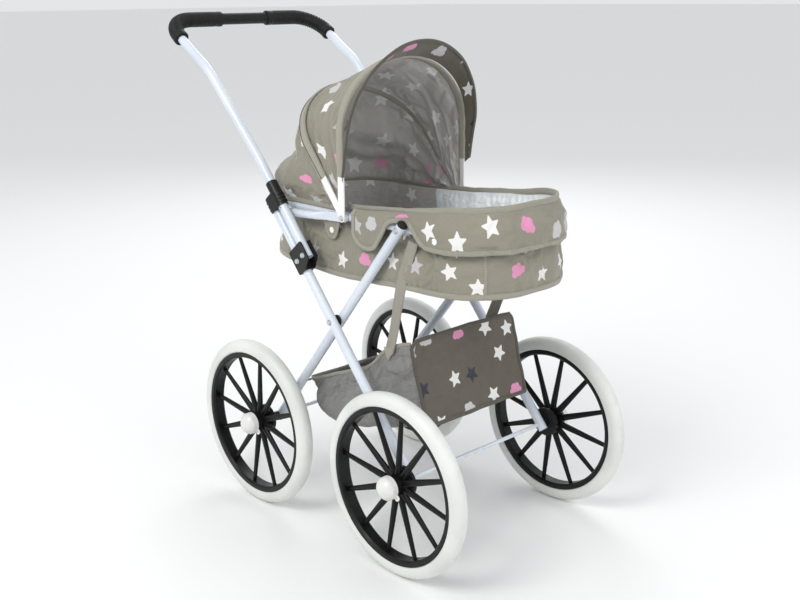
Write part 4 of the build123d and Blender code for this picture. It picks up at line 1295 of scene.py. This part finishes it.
# straps from the tub wall down to the tray
for side, word in ((-1, "right"), (1, "left")):
    route = spline(
        [
            (190, 111.2, 452),
            (187, 113.0, 440),
            (176, 114.0, 412),
            (165, 112.0, 382),
            (152, 108.0, 340),
            (139, 104.6, 302),
            (133, 103.8, 286),
        ],
        120,
    )
    route[:, 1] *= side
    route[:, 1] += side * 0.7 * wander(route, 26.0, 33.0)
    tilt = np.stack(
        [
            0.10 * np.sin(np.linspace(0, 5, 120)),
            np.full(120, float(side)),
            0.05 * np.cos(np.linspace(0, 4, 120)),
        ],
        1,
    )
    strap = sweep(f"strap_{word}", route, tilt, 0.6, 9.0, WEBBING, square=0.35, sides=16, slot="webbing")
    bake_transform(strap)
    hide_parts(f"tray_strap_{word}")
    fold = np.zeros((12, 10, 3))
    for i, a in enumerate(np.linspace(-1, 1, 12)):
        for j, d in enumerate(np.linspace(0, 1, 10)):
            fold[i, j] = (
                134 + 11.5 * a * (1 - 0.85 * d) - 3 * d,
                side * (104.9 + 0.6 * math.sin(3 * d)),
                291 - 17 * d,
            )
    cloth(f"strap_end_{word}", fold, WEBBING, body="rear_frame", slot="webbing")

# ------------------------------------------------------------------ handle grips
BEND, BAR = np.array([-215.0, 146.0, 657.0]), np.array([-328.0, 146.0, 728.0])
GRIP_ENTRY, GRIP_INNER, CORNER_R = 52.0, 44.0, 44.0
down = unit(BEND - BAR)
for side, word in ((-1, "right"), (1, "left")):
    corner = BAR * np.array([1, side, 1])
    away = down
    inward_dir = np.array([0.0, -side, 0.0])
    arc = []
    for q in np.linspace(0, math.pi / 2, 24):
        arc.append(corner + away * CORNER_R * (1 - math.sin(q)) + inward_dir * CORNER_R * (1 - math.cos(q)))
    entry = corner + away * (GRIP_ENTRY + 0.0)
    inner = np.array([BAR[0], side * GRIP_INNER, BAR[2]])
    line = evenly(np.vstack([entry, arc, inner]), 400)
    run = lengths(line)
    ribs = 0.42 * np.sin(run * 2 * math.pi / 4.4) * smooth(run, 12, 14) * smooth(
        -run, -(run[-1] - 12), -(run[-1] - 14)
    )
    collar = 0.5 * (smooth(-run, -9, -8) + smooth(run, run[-1] - 9, run[-1] - 8))
    thick = 11.35 + ribs + collar - 2.0 * bell(run, 0, 0.9) - 2.0 * bell(run, run[-1], 0.9)
    grip = sweep(
        f"grip_cover_{word}",
        line,
        (0.5, 0.0, 0.86),
        thick,
        thick,
        FOAM,
        sides=28,
        body="handle",
        slot="foam",
    )
    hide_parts(f"grip_{word}")

# ------------------------------------------------------------------ materials of the frame's own nodes
LOOKS = (
    (
        (
            "front_leg",
            "rear_leg_right",
            "rear_leg_left",
            "carrycot_ring",
            "strut_right",
            "strut_left",
            "handle_tube",
        ),
        ENAMEL,
    ),
    (("tyre",), TYRE),
    (("wheel_core",), WHEEL),
    (("hub_cap", "bow", "snaps"), WHITE),
    (("grip",), FOAM),
    (("board",), BOARD),
    (
        (
            "bracket_rivets",
            "handle_pivot_rivets",
            "cross_rivets",
            "hood_rivets",
            "carrycot_rivets",
            "push_nuts",
            "pins",
            "tray_rod",
        ),
        STEEL,
    ),
    (("bracket", "collar", "plugs", "spacers"), BLACK),
    (("axle",), ENAMEL),
    (("tub", "skirt", "hood", "tray", "strap"), PRINT),
)
for node, ob in NODES.items():
    look = next(m for words, m in LOOKS if any(w in node for w in words))
    ob.data.materials.clear()
    ob.data.materials.append(look)
    ob.data.polygons.foreach_set("material_index", [0] * len(ob.data.polygons))

# ------------------------------------------------------------------ cloth pieces' UV maps and areas read, nothing kept
declare_sheet(TUB)
declare_sheet(FLOOR)
declare_sheet(LINING_FRONT)
declare_sheet(LINING_REAR)
declare_sheet(LINING_FLOOR)
declare_sheet(SKIRT)
declare_sheet(FRONT_PANEL)
declare_sheet(REAR_PANEL)
declare_sheet(FRONT_INSIDE)
declare_sheet(REAR_INSIDE)
declare_sheet(VISOR)
declare_sheet(TRAY)
declare_sheet(PANEL)
for word in ("right", "left"):
    declare_sheet(bpy.data.objects[f"rear_flap_{word}"])
    declare_sheet(bpy.data.objects[f"strap_end_{word}"])

# ------------------------------------------------------------------ floor, light and camera
floor_mesh = bpy.data.meshes.new("floor")
R = 60.0
floor_mesh.from_pydata([(-R, -R, 0), (R, -R, 0), (R, R, 0), (-R, R, 0)], [], [(0, 1, 2, 3)])
ground = bpy.data.objects.new("floor", floor_mesh)
ground.data.materials.append(material("pale_floor", (0.86, 0.86, 0.86), 0.9))
bpy.context.scene.collection.objects.link(ground)

world = bpy.data.worlds.new("studio")
world.use_nodes = True
world.node_tree.nodes["Background"].inputs["Color"].default_value = (0.97, 0.985, 1.0, 1.0)
world.node_tree.nodes["Background"].inputs["Strength"].default_value = 0.80
bpy.context.scene.world = world


def area_light(name, at, towards, size, power, color=(1, 1, 1)):
    data = bpy.data.lights.new(name, "AREA")
    data.shape = "SQUARE"
    data.size = size
    data.energy = power
    data.color = color
    ob = bpy.data.objects.new(name, data)
    ob.location = at
    ob.rotation_euler = (Vector(towards) - Vector(at)).to_track_quat("-Z", "Y").to_euler()
    bpy.context.scene.collection.objects.link(ob)


area_light("key", (0.2, -2.2, 2.4), (0, 0, 0.35), 1.2, 38, (1.0, 0.99, 0.97))
area_light("fill", (2.4, 0.3, 1.2), (0, 0, 0.35), 1.8, 14)
area_light("back", (-1.6, 1.8, 1.9), (0, 0, 0.4), 1.4, 18)

EYE = Vector((1.1687, -1.049, 0.7642))
YAW, PITCH, ROLL = math.radians(136.99), math.radians(16.07), math.radians(-0.53)
ahead = Vector((math.cos(YAW) * math.cos(PITCH), math.sin(YAW) * math.cos(PITCH), -math.sin(PITCH)))
right = Vector((math.sin(YAW), -math.cos(YAW), 0.0))
up = right.cross(ahead)
turned = math.cos(ROLL) * right + math.sin(ROLL) * up
raised = -math.sin(ROLL) * right + math.cos(ROLL) * up
lens = bpy.data.cameras.new("camera")
lens.lens = 47.78
lens.sensor_width = 36.0
camera = bpy.data.objects.new("camera", lens)
camera.matrix_world = Matrix(
    (
        (turned.x, raised.x, -ahead.x, EYE.x),
        (turned.y, raised.y, -ahead.y, EYE.y),
        (turned.z, raised.z, -ahead.z, EYE.z),
        (0, 0, 0, 1),
    )
)
bpy.context.scene.collection.objects.link(camera)
bpy.context.scene.camera = camera
bpy.context.scene.view_settings.view_transform = "Standard"
